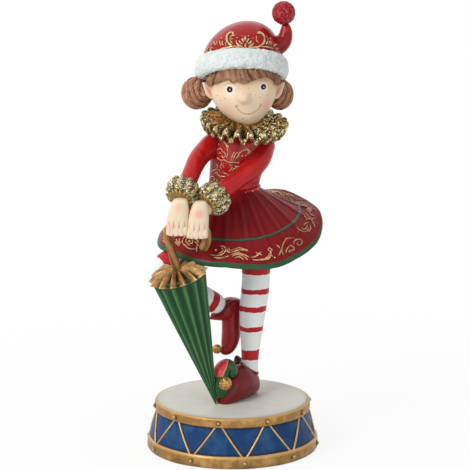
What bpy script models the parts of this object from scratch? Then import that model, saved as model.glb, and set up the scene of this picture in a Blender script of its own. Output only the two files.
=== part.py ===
"""A Christmas elf girl who stands on a toy drum and leans on a closed umbrella: one hand-painted resin casting.

Units are metres. +Z is up, the figure faces -Y, and the origin is the centre of the drum's underside.
The forms are built one by one, sunk into each other as a sculptor's clay would be, and a Boolean union
joins them into the single closed body that comes out of the mould. Each form carries its own paint.
Each form is placed by an offset from the one that carries it, so a changed size moves what stands on it.
"""

import math

import bmesh
import bpy
from mathutils import Matrix, Vector

for old in list(bpy.data.objects):
    bpy.data.objects.remove(old)

# The drum
DRUM_HEIGHT = 0.0232
DRUM_BASE_RADIUS = 0.0410
DRUM_TOP_RADIUS = 0.0373
BASE_HOOP_HEIGHT = 0.0060
TOP_HOOP_HEIGHT = 0.0044
HOOP_PROUD = 0.0011
DRUM_SKIN_RISE = 0.0006
STUD_COUNT = 10
STUD_RADIUS = 0.0014
FIRST_STUD_TURN = math.radians(-10)
LACE_WIDTH = 0.0014
LACE_PROUD = 0.0006

# The standing leg and its shoe
HEEL_PLACE = (0.0060, 0.0035)
SHOE_HEADING = math.radians(-33)
SHOE_LENGTH = 0.0235
SHOE_HALF_WIDTH = 0.0078
SHOE_HEIGHT = 0.0162
LEG_LENGTH = 0.0830
ANKLE_RADIUS = 0.0038
CALF_RADIUS = 0.0059
KNEE_RADIUS = 0.0063
THIGH_RADIUS = 0.0080
TOE_CURL_RADIUS = 0.0042
TOE_BALL_RADIUS = 0.0035

# The crossed leg: offsets from hip to knee and from knee to ankle, then the shoe held toe down
BENT_KNEE_OFFSET = (-0.0255, -0.0080, -0.0180)
BENT_ANKLE_OFFSET = (0.0295, 0.0170, -0.0205)
BENT_THIGH_RADIUS = 0.0068
BENT_KNEE_RADIUS = 0.0065
BENT_ANKLE_RADIUS = 0.0048
HANGING_SHOE_LENGTH = 0.0215
HANGING_SHOE_RADIUS = 0.0037
SMALL_BALL_RADIUS = 0.0024

# The body
HIP_PLACE = (0.0035, 0.0040)
HIP_SPREAD = 0.0115
WAIST_RISE = 0.0190
WAIST_HALF_WIDTH = 0.0119
WAIST_HALF_DEPTH = 0.0098
TORSO_LENGTH = 0.0275
CHEST_HALF_WIDTH = 0.0136
CHEST_HALF_DEPTH = 0.0105
NECK_RADIUS = 0.0062

# The skirt, a stiff bell that tips forward, dips at her left front and lifts behind
SKIRT_HALF_WIDTH = 0.0390
SKIRT_HALF_DEPTH = 0.0342
SKIRT_DROP = 0.0205
SKIRT_PITCH = math.radians(18)
SKIRT_ROLL = math.radians(7)
SKIRT_SWAY = 0.0033
SKIRT_RIDGE_RISE = 0.0006
SKIRT_PANEL_SAG = 0.0005
SKIRT_RIDGE_BEARINGS = (-168, -150, -134, -118, -100, -82, -67, -49, -31, -9, 12, 34, 56, 77, 99, 121, 142, 166)
SKIRT_RIDGE_TURNS = tuple(math.radians(bearing) for bearing in SKIRT_RIDGE_BEARINGS)
SKIRT_HEM_THICKNESS = 0.0022
SKIRT_HOLLOW = 0.0050

# The ruff at the neck and the two frilled cuffs
RUFF_RADIUS = 0.0196
RUFF_HALF_THICKNESS = 0.0027
RUFF_PLEATS = 22
RUFF_WAVE = 0.0016
RUFF_PITCH = math.radians(12)
RUFF_ROLL = math.radians(5)
CUFF_RADIUS = 0.0078
CUFF_HALF_THICKNESS = 0.0046
CUFF_PLEATS = 11
CUFF_WAVE = 0.0008
SCALLOP_SHARE = 0.045

# The head, hair and ears
HEAD_HALF_WIDTH = 0.0157
HEAD_HALF_DEPTH = 0.0155
HEAD_HALF_HEIGHT = 0.0168
HEAD_RISE = 0.0203
NOSE_RADIUS = 0.0027
EAR_REACH = 0.0042
HAIR_THICKNESS = 0.0010
HAIR_LOCKS = 15
HAIR_PITCH = math.radians(24)
RIGHT_BUN_RADIUS = 0.0074
LEFT_BUN_RADIUS = 0.0068
BUN_RIDGES = 4

# The hat
HAT_HALF_WIDTH = 0.0190
HAT_HALF_DEPTH = 0.0185
HAT_HEIGHT = 0.0222
HAT_PITCH = math.radians(20)
BRIM_RADIUS = 0.0184
BRIM_HALF_THICKNESS = 0.0032
BRIM_HALF_HEIGHT = 0.0049
HAT_TAIL_RADIUS = 0.0062
POMPOM_RADIUS = 0.0056

# The arms and hands
SHOULDER_RADIUS = 0.0052
ELBOW_RADIUS = 0.0045
WRIST_RADIUS = 0.0036
HAND_SPACING = 0.0092
PALM_HALF_WIDTH = 0.0048
PALM_HALF_DEPTH = 0.0040
PALM_HALF_HEIGHT = 0.0080
FINGER_RADIUS = 0.0013
FINGER_LENGTH = 0.0070

# The umbrella
UMBRELLA_TIP = (-0.0074, -0.0130)
UMBRELLA_LEAN_LEFT = math.radians(14.6)
UMBRELLA_LEAN_FORWARD = math.radians(12)
CANOPY_LENGTH = 0.0708
CANOPY_RADIUS = 0.0130
CANOPY_PLEATS = 14
CANOPY_SWELL = 0.97
PLEAT_DEPTH_SHARE = 0.15
CROWN_OVERHANG = 0.0010
CROWN_RISE = 0.0026
CROWN_THICKNESS = 0.0012
SHAFT_LENGTH = 0.0192
STICK_RADIUS = 0.0019
CROOK_RADIUS = 0.0090
CROOK_SWEEP = math.radians(218)

X, Y, Z = Vector((1, 0, 0)), Vector((0, 1, 0)), Vector((0, 0, 1))
ORIGIN = Vector((0, 0, 0))
SEAT = 0.0010  # how deep a form sinks into the one that carries it

forms = bpy.data.collections.new("forms")
bpy.context.scene.collection.children.link(forms)


def paint(name, colour, roughness, metallic=0.0):
    """A Principled BSDF from an sRGB hex colour."""
    channels = [int(colour[i : i + 2], 16) / 255 for i in (0, 2, 4)]
    linear = [c / 12.92 if c <= 0.04045 else ((c + 0.055) / 1.055) ** 2.4 for c in channels]
    material = bpy.data.materials.new(name)
    material.use_nodes = True
    shader = material.node_tree.nodes["Principled BSDF"]
    shader.inputs["Base Color"].default_value = (*linear, 1.0)
    shader.inputs["Roughness"].default_value = roughness
    shader.inputs["Metallic"].default_value = metallic
    material.diffuse_color = (*linear, 1.0)
    return material


BLUE = paint("drum_blue", "1D4F8C", 0.45)
OLD_GOLD = paint("old_gold", "B8864A", 0.40, 0.6)
CREAM = paint("drum_skin", "DBD7C8", 0.55)
SCARLET = paint("scarlet", "C0201F", 0.35)
WINE = paint("wine_red", "6E1619", 0.35)
GREEN = paint("umbrella_green", "2E5A32", 0.50)
SKIN = paint("skin", "EAD3B4", 0.45)
HAIR = paint("hair_brown", "8A5A40", 0.50)
STOCKING = paint("stocking_white", "DCE0DE", 0.50)
FUR = paint("fur_white", "E4ECEE", 0.70)
GLITTER = paint("gold_glitter", "A5894A", 0.35, 0.8)
WOOD = paint("umbrella_stick", "8F6B2E", 0.45)


def add_form(name, bm, colour):
    """Puts a closed mesh among the forms. It is an operand of the union and doesn't show by itself."""
    bmesh.ops.recalc_face_normals(bm, faces=bm.faces)
    mesh = bpy.data.meshes.new(name)
    bm.to_mesh(mesh)
    bm.free()
    mesh.materials.append(colour)
    form = bpy.data.objects.new(name, mesh)
    form.hide_render = True
    form.display_type = "WIRE"
    forms.objects.link(form)
    return form


def ring(centre, across, along, sides, reach=None):
    """Points round an ellipse with the half-axes across and along; reach(turn) scales each one."""
    turns = [math.tau * i / sides for i in range(sides)]
    scales = [reach(turn) if reach else 1.0 for turn in turns]
    return [
        centre + (across * math.cos(turn) + along * math.sin(turn)) * scale
        for turn, scale in zip(turns, scales)
    ]


def loft(name, rings, colour):
    """A closed solid skinned through rings of points, with a fan across each end."""
    bm = bmesh.new()
    loops = []
    for points in rings:
        circle = bmesh.ops.create_circle(bm, segments=len(points), radius=1.0)["verts"]
        for vertex, point in zip(circle, points):
            vertex.co = point
        loops.append(list(dict.fromkeys(edge for vertex in circle for edge in vertex.link_edges)))
    for lower, upper in zip(loops, loops[1:]):
        bmesh.ops.bridge_loops(bm, edges=lower + upper)
    for end in (loops[0], loops[-1]):
        cap = bmesh.ops.edgeloop_fill(bm, edges=end)["faces"]
        bmesh.ops.poke(bm, faces=cap)
    return add_form(name, bm, colour)


def ball(name, centre, half_sizes, columns, rows, colour, turn=None):
    """An ellipsoid with the given half-sizes, turned by a rotation matrix where one is given."""
    bm = bmesh.new()
    matrix = Matrix.Translation(centre)
    if turn:
        matrix = matrix @ turn.to_4x4()
    matrix = matrix @ Matrix.Diagonal((*half_sizes, 1.0))
    bmesh.ops.create_uvsphere(bm, u_segments=columns, v_segments=rows, radius=1.0, matrix=matrix)
    return add_form(name, bm, colour)


def smoothed(stations, steps):
    """A Catmull-Rom curve through stations, which are tuples of any one length."""
    padded = [stations[0], *stations, stations[-1]]
    found = []
    for quad in zip(padded, padded[1:], padded[2:], padded[3:]):
        for step in range(steps):
            t = step / steps
            found.append(
                tuple(
                    (2 * b + (c - a) * t + (2 * a - 5 * b + 4 * c - d) * t**2 + (3 * b - a - 3 * c + d) * t**3) / 2
                    for a, b, c, d in zip(*quad)
                )
            )
    return [*found, stations[-1]]


def limb(name, joints, sides, colour, steps=2, flatten=1.0):
    """A tube through joints, each a centre and a radius; flatten scales its second half-axis."""
    stations = smoothed([(*centre, radius) for centre, radius in joints], steps)
    centres = [Vector(station[:3]) for station in stations]
    ends = [centres[0], *centres, centres[-1]]
    side = X
    rings = []
    for centre, before, after, station in zip(centres, ends, ends[2:], stations):
        heading = (after - before).normalized()
        if abs(side.dot(heading)) > 0.95:
            side = Y
        side = (side - heading * side.dot(heading)).normalized()
        radius = station[3]
        rings.append(ring(centre, side * radius, heading.cross(side) * radius * flatten, sides))
    return loft(name, rings, colour)


def frill(name, centre, axis, profile, pleats, wave, colour):
    """A gathered collar round axis. The profile runs (radius, height, share of the wave) over its section."""
    side = (X - axis * X.dot(axis)).normalized()
    front = axis.cross(side)
    rings = []
    for radius, height, swing in profile:
        points = ring(
            ORIGIN,
            side * radius,
            front * radius,
            pleats * 2,
            lambda turn: 1 + SCALLOP_SHARE * swing * math.cos(pleats * turn),
        )
        rings.append(
            [
                centre + point + axis * (height + wave * swing * math.cos(math.pi * i))
                for i, point in enumerate(points)
            ]
        )
    return loft(name, rings, colour)


# The drum: a tapered shell between two gilt hoops, laced with ropes that run from stud to stud

def around(radius, turn, height):
    """A point on the drum; turn 0 is the front, and it grows towards +X."""
    return Vector((radius * math.sin(turn), -radius * math.cos(turn), height))


def wall_radius(height):
    """The blue shell's radius, which falls evenly from the base hoop to the top hoop."""
    low, high = BASE_HOOP_HEIGHT, DRUM_HEIGHT - TOP_HOOP_HEIGHT
    share = (height - low) / (high - low)
    return (DRUM_BASE_RADIUS - HOOP_PROUD) * (1 - share) + (DRUM_TOP_RADIUS - HOOP_PROUD) * share


def build_drum():
    """One turned solid: the base hoop, the shell, the top hoop and the skin stretched over it."""
    sides = STUD_COUNT * 5
    edge = HOOP_PROUD / 2
    shell_top = DRUM_HEIGHT - TOP_HOOP_HEIGHT
    skin_radius = DRUM_TOP_RADIUS - HOOP_PROUD
    profile = [
        (DRUM_BASE_RADIUS - HOOP_PROUD, 0.0),
        (DRUM_BASE_RADIUS, HOOP_PROUD),
        (DRUM_BASE_RADIUS, BASE_HOOP_HEIGHT - edge),
        (wall_radius(BASE_HOOP_HEIGHT), BASE_HOOP_HEIGHT),
        (wall_radius(shell_top), shell_top),
        (DRUM_TOP_RADIUS, shell_top + edge),
        (DRUM_TOP_RADIUS, DRUM_HEIGHT - edge),
        (skin_radius, DRUM_HEIGHT - edge),
        (skin_radius - DRUM_SKIN_RISE * 2, DRUM_HEIGHT + DRUM_SKIN_RISE),
    ]
    rings = [ring(Z * height, X * radius, Y * radius, sides) for radius, height in profile]
    drum = loft("elf_figurine", rings, OLD_GOLD)
    for colour in (BLUE, CREAM):
        drum.data.materials.append(colour)
    for face in drum.data.polygons:
        height = face.center.z
        if BASE_HOOP_HEIGHT < height < shell_top:
            face.material_index = 1
        elif face.normal.z > 0.2 and height > shell_top + edge:
            face.material_index = 2
    return drum


def build_drum_fittings():
    step = math.tau / STUD_COUNT
    base_height = BASE_HOOP_HEIGHT / 2
    top_height = DRUM_HEIGHT - TOP_HOOP_HEIGHT / 2
    for k in range(STUD_COUNT):
        top_turn = FIRST_STUD_TURN + k * step
        base_turn = top_turn + step / 2
        build_stud(f"top_stud_{k}", DRUM_TOP_RADIUS, top_turn, top_height)
        build_stud(f"base_stud_{k}", DRUM_BASE_RADIUS, base_turn, base_height)
        for side in (-1, 1):
            build_lace(f"lace_{k}_{side}", base_turn, base_turn + side * step / 2)


def build_stud(name, radius, turn, height):
    """A domed nail head on a hoop."""
    outward = around(1.0, turn, 0.0)
    aside = Z.cross(outward)
    foot = around(radius, turn, height)
    rings = [
        ring(foot + outward * STUD_RADIUS * out, aside * STUD_RADIUS * wide, Z * STUD_RADIUS * wide, 6)
        for out, wide in ((-0.55, 1.0), (0.35, 0.95), (0.75, 0.5))
    ]
    loft(name, rings, OLD_GOLD)


def build_lace(name, low_turn, high_turn):
    """A rope that follows the shell from a base stud up to a top stud."""
    low = BASE_HOOP_HEIGHT - SEAT
    high = DRUM_HEIGHT - TOP_HOOP_HEIGHT + SEAT
    rings = []
    for share in (0.0, 0.5, 1.0):
        turn = low_turn + (high_turn - low_turn) * share
        height = low + (high - low) * share
        radius = wall_radius(height)
        outward = around(1.0, turn, 0.0)
        aside = Z.cross(outward) * LACE_WIDTH / 2
        inner = around(radius - SEAT, turn, height)
        outer = inner + outward * (SEAT + LACE_PROUD)
        rings.append([inner - aside, inner + aside, outer + aside * 0.6, outer - aside * 0.6])
    loft(name, rings, OLD_GOLD)


# The umbrella: a rolled canopy with deep pleats under a crimped gilt crown, and a stick bent into a crook

tip = Vector((*UMBRELLA_TIP, DRUM_HEIGHT - SEAT))
stick_axis = Vector((-math.tan(UMBRELLA_LEAN_LEFT), -math.tan(UMBRELLA_LEAN_FORWARD), 1.0)).normalized()
stick_side = (X - stick_axis * X.dot(stick_axis)).normalized()
stick_front = stick_axis.cross(stick_side)
crown_centre = tip + stick_axis * CANOPY_LENGTH
crook_start = crown_centre + stick_axis * SHAFT_LENGTH
crook_centre = crook_start + X * CROOK_RADIUS


def build_umbrella():
    pleats = CANOPY_PLEATS
    rings = []
    for share in (0.012, 0.20, 0.55, 1.0):
        radius = CANOPY_RADIUS * share**CANOPY_SWELL
        rings.append(
            ring(
                tip + stick_axis * CANOPY_LENGTH * share,
                stick_side * radius,
                stick_front * radius,
                pleats * 4,
                lambda turn: 1 - PLEAT_DEPTH_SHARE * (0.5 - 0.5 * math.cos(pleats * turn)) ** 0.8,
            )
        )
    loft("canopy", rings, GREEN)

    rim = CANOPY_RADIUS + CROWN_OVERHANG
    notch = CANOPY_RADIUS * (1 - PLEAT_DEPTH_SHARE)
    crimp = CROWN_RISE / 2

    def crown_ring(outer, inner, height, swing):
        """Ridges reach outer and notches reach inner, with the ridges raised by swing."""
        middle, half = (outer + inner) / 2, (outer - inner) / 2
        points = ring(
            ORIGIN, stick_side, stick_front, pleats * 2, lambda turn: middle + half * math.cos(pleats * turn)
        )
        return [
            crown_centre + point + stick_axis * (height + (swing if i % 2 == 0 else -swing))
            for i, point in enumerate(points)
        ]

    loft(
        "crown",
        [
            crown_ring(rim / 2, rim / 2, -CROWN_THICKNESS * 2, 0.0),
            crown_ring(rim, notch, -CROWN_THICKNESS, crimp / 2),
            crown_ring(rim, notch, 0.0, crimp / 2),
            crown_ring(rim * 0.55, rim * 0.50, CROWN_RISE * 0.45, crimp / 2),
            crown_ring(STICK_RADIUS * 1.4, STICK_RADIUS * 1.2, CROWN_RISE, 0.0),
        ],
        OLD_GOLD,
    )

    stick = [(crown_centre, STICK_RADIUS), (crook_start - stick_axis * SEAT, STICK_RADIUS)]
    bend_steps = 10
    for step in range(1, bend_steps + 1):
        bend = CROOK_SWEEP * step / bend_steps
        point = crook_centre - X * CROOK_RADIUS * math.cos(bend) + Z * CROOK_RADIUS * math.sin(bend)
        stick.append((point, STICK_RADIUS))
    stick.append((stick[-1][0] + (stick[-1][0] - stick[-2][0]) * 0.3, STICK_RADIUS * 0.6))
    limb("stick", stick, 8, WOOD, steps=1)


# The legs: one planted on the drum skin, the other crossed behind it with its toe down

deck = DRUM_HEIGHT + DRUM_SKIN_RISE
heel = Vector((*HEEL_PLACE, deck))
shoe_ahead = Vector((math.sin(SHOE_HEADING), -math.cos(SHOE_HEADING), 0.0))
shoe_aside = Z.cross(shoe_ahead)
hips = Vector((*HIP_PLACE, deck + LEG_LENGTH))
standing_hip = hips + Vector((HIP_SPREAD * 0.40, -0.0020, 0.0))
bent_hip = hips - Vector((HIP_SPREAD, 0.0040, 0.0028))


def build_standing_leg():
    ankle = heel + Vector((0.0023, 0.0005, LEG_LENGTH * 0.245))
    limb(
        "standing_leg",
        [
            (heel + Vector((0.0016, 0.0, SHOE_HEIGHT * 0.55)), ANKLE_RADIUS),
            (ankle, ANKLE_RADIUS),
            (ankle + Vector((0.0009, 0.0, LEG_LENGTH * 0.235)), CALF_RADIUS),
            (ankle + Vector((0.0022, -0.0008, LEG_LENGTH * 0.375)), KNEE_RADIUS),
            (ankle + Vector((0.0026, -0.0014, LEG_LENGTH * 0.490)), KNEE_RADIUS),
            (ankle + Vector((0.0026, -0.0018, LEG_LENGTH * 0.640)), THIGH_RADIUS * 0.97),
            (standing_hip, THIGH_RADIUS),
        ],
        14,
        STOCKING,
        steps=1,
    )


def build_standing_shoe():
    shares = ((-0.14, 0.34), (-0.02, 0.82), (0.22, 1.0), (0.48, 0.98), (0.74, 0.80), (1.0, 0.50))
    heights = (0.55, 0.92, 1.0, 0.90, 0.70, 0.46)
    rings = []
    for (share, width), height in zip(shares, heights):
        tall = SHOE_HEIGHT * height
        centre = heel + shoe_ahead * SHOE_LENGTH * (share - 0.12) + Z * (tall / 2 - SEAT)
        rings.append(ring(centre, shoe_aside * SHOE_HALF_WIDTH * width, Z * (tall / 2 + SEAT / 2), 14))
    loft("standing_shoe", rings, WINE)

    toe = heel + shoe_ahead * SHOE_LENGTH * 0.80
    curl = [
        (toe + Z * 0.0042, TOE_CURL_RADIUS * 0.95),
        (toe + Vector((-0.0022, -0.0010, 0.0095)), TOE_CURL_RADIUS * 0.90),
        (toe + Vector((-0.0012, 0.0010, 0.0160)), TOE_CURL_RADIUS),
        (toe + Vector((0.0022, 0.0022, 0.0190)), TOE_CURL_RADIUS),
        (toe + Vector((0.0048, 0.0016, 0.0165)), TOE_CURL_RADIUS * 0.86),
        (toe + Vector((0.0035, -0.0002, 0.0130)), TOE_CURL_RADIUS * 0.66),
    ]
    limb("shoe_toe_curl", curl, 10, SCARLET)
    toe_ball = toe + Vector((0.0018, -0.0028, 0.0106))
    ball("shoe_toe_ball", toe_ball, (TOE_BALL_RADIUS,) * 3, 10, 7, OLD_GOLD)
    flap = heel + Vector((-0.0022, 0.0040, SHOE_HEIGHT * 0.85))
    limb(
        "shoe_collar_point",
        [
            (flap, ANKLE_RADIUS * 0.9),
            (flap + Vector((-0.0008, 0.0016, 0.0024)), ANKLE_RADIUS * 0.6),
            (flap + Vector((-0.0014, 0.0030, 0.0046)), ANKLE_RADIUS * 0.2),
        ],
        8,
        WINE,
    )


def build_bent_leg():
    knee = bent_hip + Vector(BENT_KNEE_OFFSET)
    ankle = knee + Vector(BENT_ANKLE_OFFSET)
    limb(
        "bent_leg",
        [
            (bent_hip, BENT_THIGH_RADIUS),
            (bent_hip.lerp(knee, 0.55) + Z * 0.0006, BENT_THIGH_RADIUS),
            (knee, BENT_KNEE_RADIUS),
            (knee.lerp(ankle, 0.45) - Z * 0.0006, BENT_KNEE_RADIUS * 0.90),
            (ankle, BENT_ANKLE_RADIUS),
        ],
        14,
        STOCKING,
    )
    top = ankle + Vector((0.0044, 0.0022, 0.0026))
    length = HANGING_SHOE_LENGTH
    toe = top + Vector((-0.0022, -0.0035, -length))
    limb(
        "hanging_shoe",
        [
            (top + Z * 0.0010, HANGING_SHOE_RADIUS * 0.85),
            (top - Z * length * 0.18, HANGING_SHOE_RADIUS * 1.10),
            (top - Z * length * 0.50 - Y * 0.0006, HANGING_SHOE_RADIUS),
            (top - Z * length * 0.78 - Y * 0.0014, HANGING_SHOE_RADIUS * 1.02),
            (toe, HANGING_SHOE_RADIUS * 0.80),
            (toe + Vector((-0.0020, -0.0010, -0.0008)), HANGING_SHOE_RADIUS * 0.62),
            (toe + Vector((-0.0048, -0.0024, 0.0016)), HANGING_SHOE_RADIUS * 0.40),
        ],
        12,
        WINE,
        steps=1,
    )
    ball("hanging_toe_ball", toe + Vector((-0.0056, -0.0030, 0.0032)), (SMALL_BALL_RADIUS,) * 3, 8, 6, OLD_GOLD)
    limb(
        "hanging_shoe_collar",
        [
            (top - Z * 0.0030, HANGING_SHOE_RADIUS * 0.9),
            (ankle + Vector((0.0000, 0.0, -0.0016)), BENT_ANKLE_RADIUS * 1.02),
            (ankle + Vector((-0.0040, -0.0012, -0.0034)), BENT_ANKLE_RADIUS * 0.60),
            (ankle + Vector((-0.0068, -0.0020, -0.0052)), BENT_ANKLE_RADIUS * 0.18),
        ],
        10,
        WINE,
        steps=1,
    )


# The body: a fitted bodice that leans a little to her left, over a stiff pleated skirt

waist = hips + Vector((-0.0031, -0.0020, WAIST_RISE))
neck = waist + Vector((0.0050, -0.0035, TORSO_LENGTH))
chest = waist.lerp(neck, 0.66)


def build_torso():
    widths = (1.06, 1.0, 1.06)
    rings = []
    for share, wide in zip((-0.35, 0.0, 0.30), widths):
        centre = waist.lerp(neck, share)
        rings.append(ring(centre, X * WAIST_HALF_WIDTH * wide, Y * WAIST_HALF_DEPTH * wide, 18))
    for share, wide in ((0.62, 1.0), (0.80, 0.93), (0.90, 0.74)):
        centre = waist.lerp(neck, share)
        rings.append(ring(centre, X * CHEST_HALF_WIDTH * wide, Y * CHEST_HALF_DEPTH * wide, 18))
    for share in (1.0, 1.30):
        rings.append(ring(waist.lerp(neck, share), X * NECK_RADIUS, Y * NECK_RADIUS, 18))
    loft("torso", rings, SCARLET)


def build_skirt():
    lean_across, lean_along = math.tan(SKIRT_ROLL), math.tan(SKIRT_PITCH)
    drift = Vector((0.0031, 0.0025, 0.0))
    # Each panel runs from one ridge to the next and sags between them
    columns = []
    for turn, following in zip(SKIRT_RIDGE_TURNS, (*SKIRT_RIDGE_TURNS[1:], SKIRT_RIDGE_TURNS[0] + math.tau)):
        for share, rise in ((0.0, SKIRT_RIDGE_RISE), (0.12, 0.0), (0.5, -SKIRT_PANEL_SAG), (0.88, 0.0)):
            columns.append((turn + (following - turn) * share, rise))

    def tier(share, drop_share, fold_share, lower=0.0):
        """One ring of the bell: share 0 is the waist and 1 the hem."""
        across = WAIST_HALF_WIDTH + (SKIRT_HALF_WIDTH - WAIST_HALF_WIDTH) * share
        along = WAIST_HALF_DEPTH + (SKIRT_HALF_DEPTH - WAIST_HALF_DEPTH) * share
        centre = waist + drift * share - Z * (SKIRT_DROP * drop_share + lower)
        points = []
        for turn, rise in columns:
            point = X * across * math.cos(turn) + Y * along * math.sin(turn)
            tilt = point.x * lean_across + point.y * lean_along + SKIRT_SWAY * share**2 * math.sin(2 * turn)
            points.append(centre + point + Z * (tilt * max(0.0, share) + rise * fold_share))
        return points

    thick = SKIRT_HEM_THICKNESS
    rings = [
        tier(-0.05, -0.06, 0.0),
        tier(0.22, 0.24, 0.6),
        tier(0.62, 0.62, 1.0),
        tier(1.0, 1.0, 1.0),
        tier(0.985, 1.0, 1.0, thick),
        tier(0.10, 1.0, 0.0, thick - SKIRT_HOLLOW),
    ]
    loft("skirt", rings, WINE)


# The head, with side buns, pointed ears and a tipped-back hat

head = neck + Vector((-0.0002, -0.0020, HEAD_RISE))


def build_head():
    rings = []
    for polar in (math.radians(degrees) for degrees in (40, 65, 88, 106, 124, 141, 156, 169)):
        height = math.cos(polar)
        reach = math.sin(polar) * (1 - 0.10 * max(0.0, -height) ** 1.5)
        centre = head + Z * HEAD_HALF_HEIGHT * height - Y * 0.0006 * (1 - height)
        rings.append(ring(centre, X * HEAD_HALF_WIDTH * reach, Y * HEAD_HALF_DEPTH * reach, 20))
    loft("head", rings, SKIN)
    nose = head + Vector((0.0003, -HEAD_HALF_DEPTH - NOSE_RADIUS * 0.15, -0.0036))
    ball("nose", nose, (NOSE_RADIUS, NOSE_RADIUS * 0.9, NOSE_RADIUS * 0.85), 8, 6, SKIN)
    for side in (-1, 1):
        root = head + Vector((side * HEAD_HALF_WIDTH * 0.88, -0.0034, -0.0010))
        limb(
            f"ear_{side}",
            [
                (root + Vector((side * 0.0002, 0.0, -0.0042)), 0.0006),
                (root + Vector((side * EAR_REACH * 0.35, 0.0004, -0.0020)), 0.0020),
                (root + Vector((side * EAR_REACH * 0.60, 0.0006, 0.0016)), 0.0018),
                (root + Vector((side * EAR_REACH, 0.0012, 0.0042)), 0.0005),
            ],
            8,
            SKIN,
            flatten=0.7,
        )


def build_hair():
    sides = HAIR_LOCKS * 2
    half = Vector((HEAD_HALF_WIDTH, HEAD_HALF_DEPTH, HEAD_HALF_HEIGHT)) + Vector((HAIR_THICKNESS,) * 3)
    tip_back = Matrix.Rotation(-HAIR_PITCH, 3, "X")
    rings = []
    for degrees in (30, 50, 66, 82, 96, 100):
        polar = math.radians(degrees)
        inset = 0.95 if degrees == 100 else 1.0
        reach = math.sin(polar) * inset
        points = ring(
            Z * half.z * math.cos(polar),
            X * half.x * reach,
            Y * half.y * reach,
            sides,
            lambda turn: 1 + 0.014 * math.cos(HAIR_LOCKS * turn),
        )
        rings.append([head + tip_back @ point for point in points])
    loft("hair", rings, HAIR)
    build_bun("right_bun", head + Vector((-0.0219, 0.0075, -0.0036)), RIGHT_BUN_RADIUS, 0.96)
    build_bun("left_bun", head + Vector((0.0169, 0.0075, -0.0044)), LEFT_BUN_RADIUS, 0.92)


def build_bun(name, centre, radius, width_share):
    """A plait coiled up on itself: rounds stand out along an axis that runs from side to side."""
    rings = []
    for row in range(1, 9):
        polar = math.pi * row / 9
        reach = radius * math.sin(polar) * (1 + 0.05 * math.cos(2 * BUN_RIDGES * polar))
        rings.append(ring(centre + X * radius * width_share * math.cos(polar), Y * reach, Z * reach * 1.06, 14))
    loft(name, rings, HAIR)


def build_hat():
    tip_back = Matrix.Rotation(-HAT_PITCH, 3, "X")
    seat = head + Vector((-0.0008, 0.0045, 0.0080))
    rings = []
    for height in (-0.14, 0.0, 0.30, 0.55, 0.75, 0.90, 0.985):
        reach = (1 - height**2.15) ** (1 / 2.15) if height > 0 else 1 + height
        centre = seat + tip_back @ (Z * HAT_HEIGHT * height + X * 0.0030 * height**2)
        rings.append(ring(centre, X * HAT_HALF_WIDTH * reach, tip_back @ Y * HAT_HALF_DEPTH * reach, 24))
    loft("hat", rings, SCARLET)

    sides, tube = 28, 8
    bm = bmesh.new()
    circle = bmesh.ops.create_circle(bm, segments=tube, radius=1.0)
    for vertex in circle["verts"]:
        flat = vertex.co.copy()
        vertex.co = Vector((BRIM_RADIUS + BRIM_HALF_THICKNESS * flat.x, 0.0, BRIM_HALF_HEIGHT * flat.y))
    bmesh.ops.spin(
        bm, geom=bm.verts[:] + bm.edges[:], cent=ORIGIN, axis=Z, angle=math.tau, steps=sides, use_merge=True
    )
    bmesh.ops.transform(bm, matrix=Matrix.Translation(seat) @ tip_back.to_4x4(), verts=bm.verts)
    add_form("brim", bm, FUR)

    root = seat + Vector((0.0095, 0.0010, 0.0095))
    limb(
        "hat_tail",
        [
            (root, HAT_TAIL_RADIUS * 1.02),
            (root + Vector((0.0056, 0.0010, 0.0002)), HAT_TAIL_RADIUS * 0.86),
            (root + Vector((0.0097, 0.0015, 0.0026)), HAT_TAIL_RADIUS * 0.62),
            (root + Vector((0.0113, 0.0015, 0.0064)), HAT_TAIL_RADIUS * 0.46),
            (root + Vector((0.0108, 0.0010, 0.0125)), HAT_TAIL_RADIUS * 0.40),
        ],
        10,
        SCARLET,
    )
    pompom = root + Vector((0.0092, 0.0005, 0.0102 + POMPOM_RADIUS))
    ball("pompom", pompom, (POMPOM_RADIUS,) * 3, 14, 9, SCARLET)


# The arms come together over the umbrella's crook, each hand with four fingers folded down over it

def build_hands():
    grip = crook_centre + Vector((0.0004, -0.0010, 0.0098))
    for side, drop in ((-1, 0.0), (1, -0.0013)):
        palm = grip + X * side * HAND_SPACING / 2 + Z * drop
        rings = []
        for height, wide, deep, shift in (
            (1.0, 0.62, 0.80, 0.0012),
            (0.70, 0.82, 0.95, 0.0009),
            (0.15, 0.98, 1.0, 0.0003),
            (-0.45, 1.02, 0.92, -0.0002),
            (-0.85, 0.94, 0.70, -0.0004),
        ):
            centre = palm + Vector((shift, 0.0, PALM_HALF_HEIGHT * height))
            across, along = X * PALM_HALF_WIDTH * wide, Y * PALM_HALF_DEPTH * deep
            rings.append(ring(centre, across, along, 12, squared))
        loft(f"palm_{side}", rings, SKIN)
        for finger in range(4):
            offset = X * ((finger - 1.5) * PALM_HALF_WIDTH * 0.47 - 0.0003)
            knuckle = palm + offset + Vector((0.0, -PALM_HALF_DEPTH * 0.62, -0.0008))
            limb(
                f"finger_{side}_{finger}",
                [
                    (knuckle, FINGER_RADIUS * 0.8),
                    (knuckle - Z * FINGER_LENGTH * 0.50 - Y * 0.0007, FINGER_RADIUS),
                    (knuckle - Z * FINGER_LENGTH + Y * 0.0006, FINGER_RADIUS * 0.8),
                ],
                6,
                SKIN,
                steps=1,
            )
        build_arm(side, palm)


def squared(turn):
    """Swells an ellipse towards its corners, as a hand's section is."""
    return 1 + 0.10 * math.sin(2 * turn) ** 2


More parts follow.
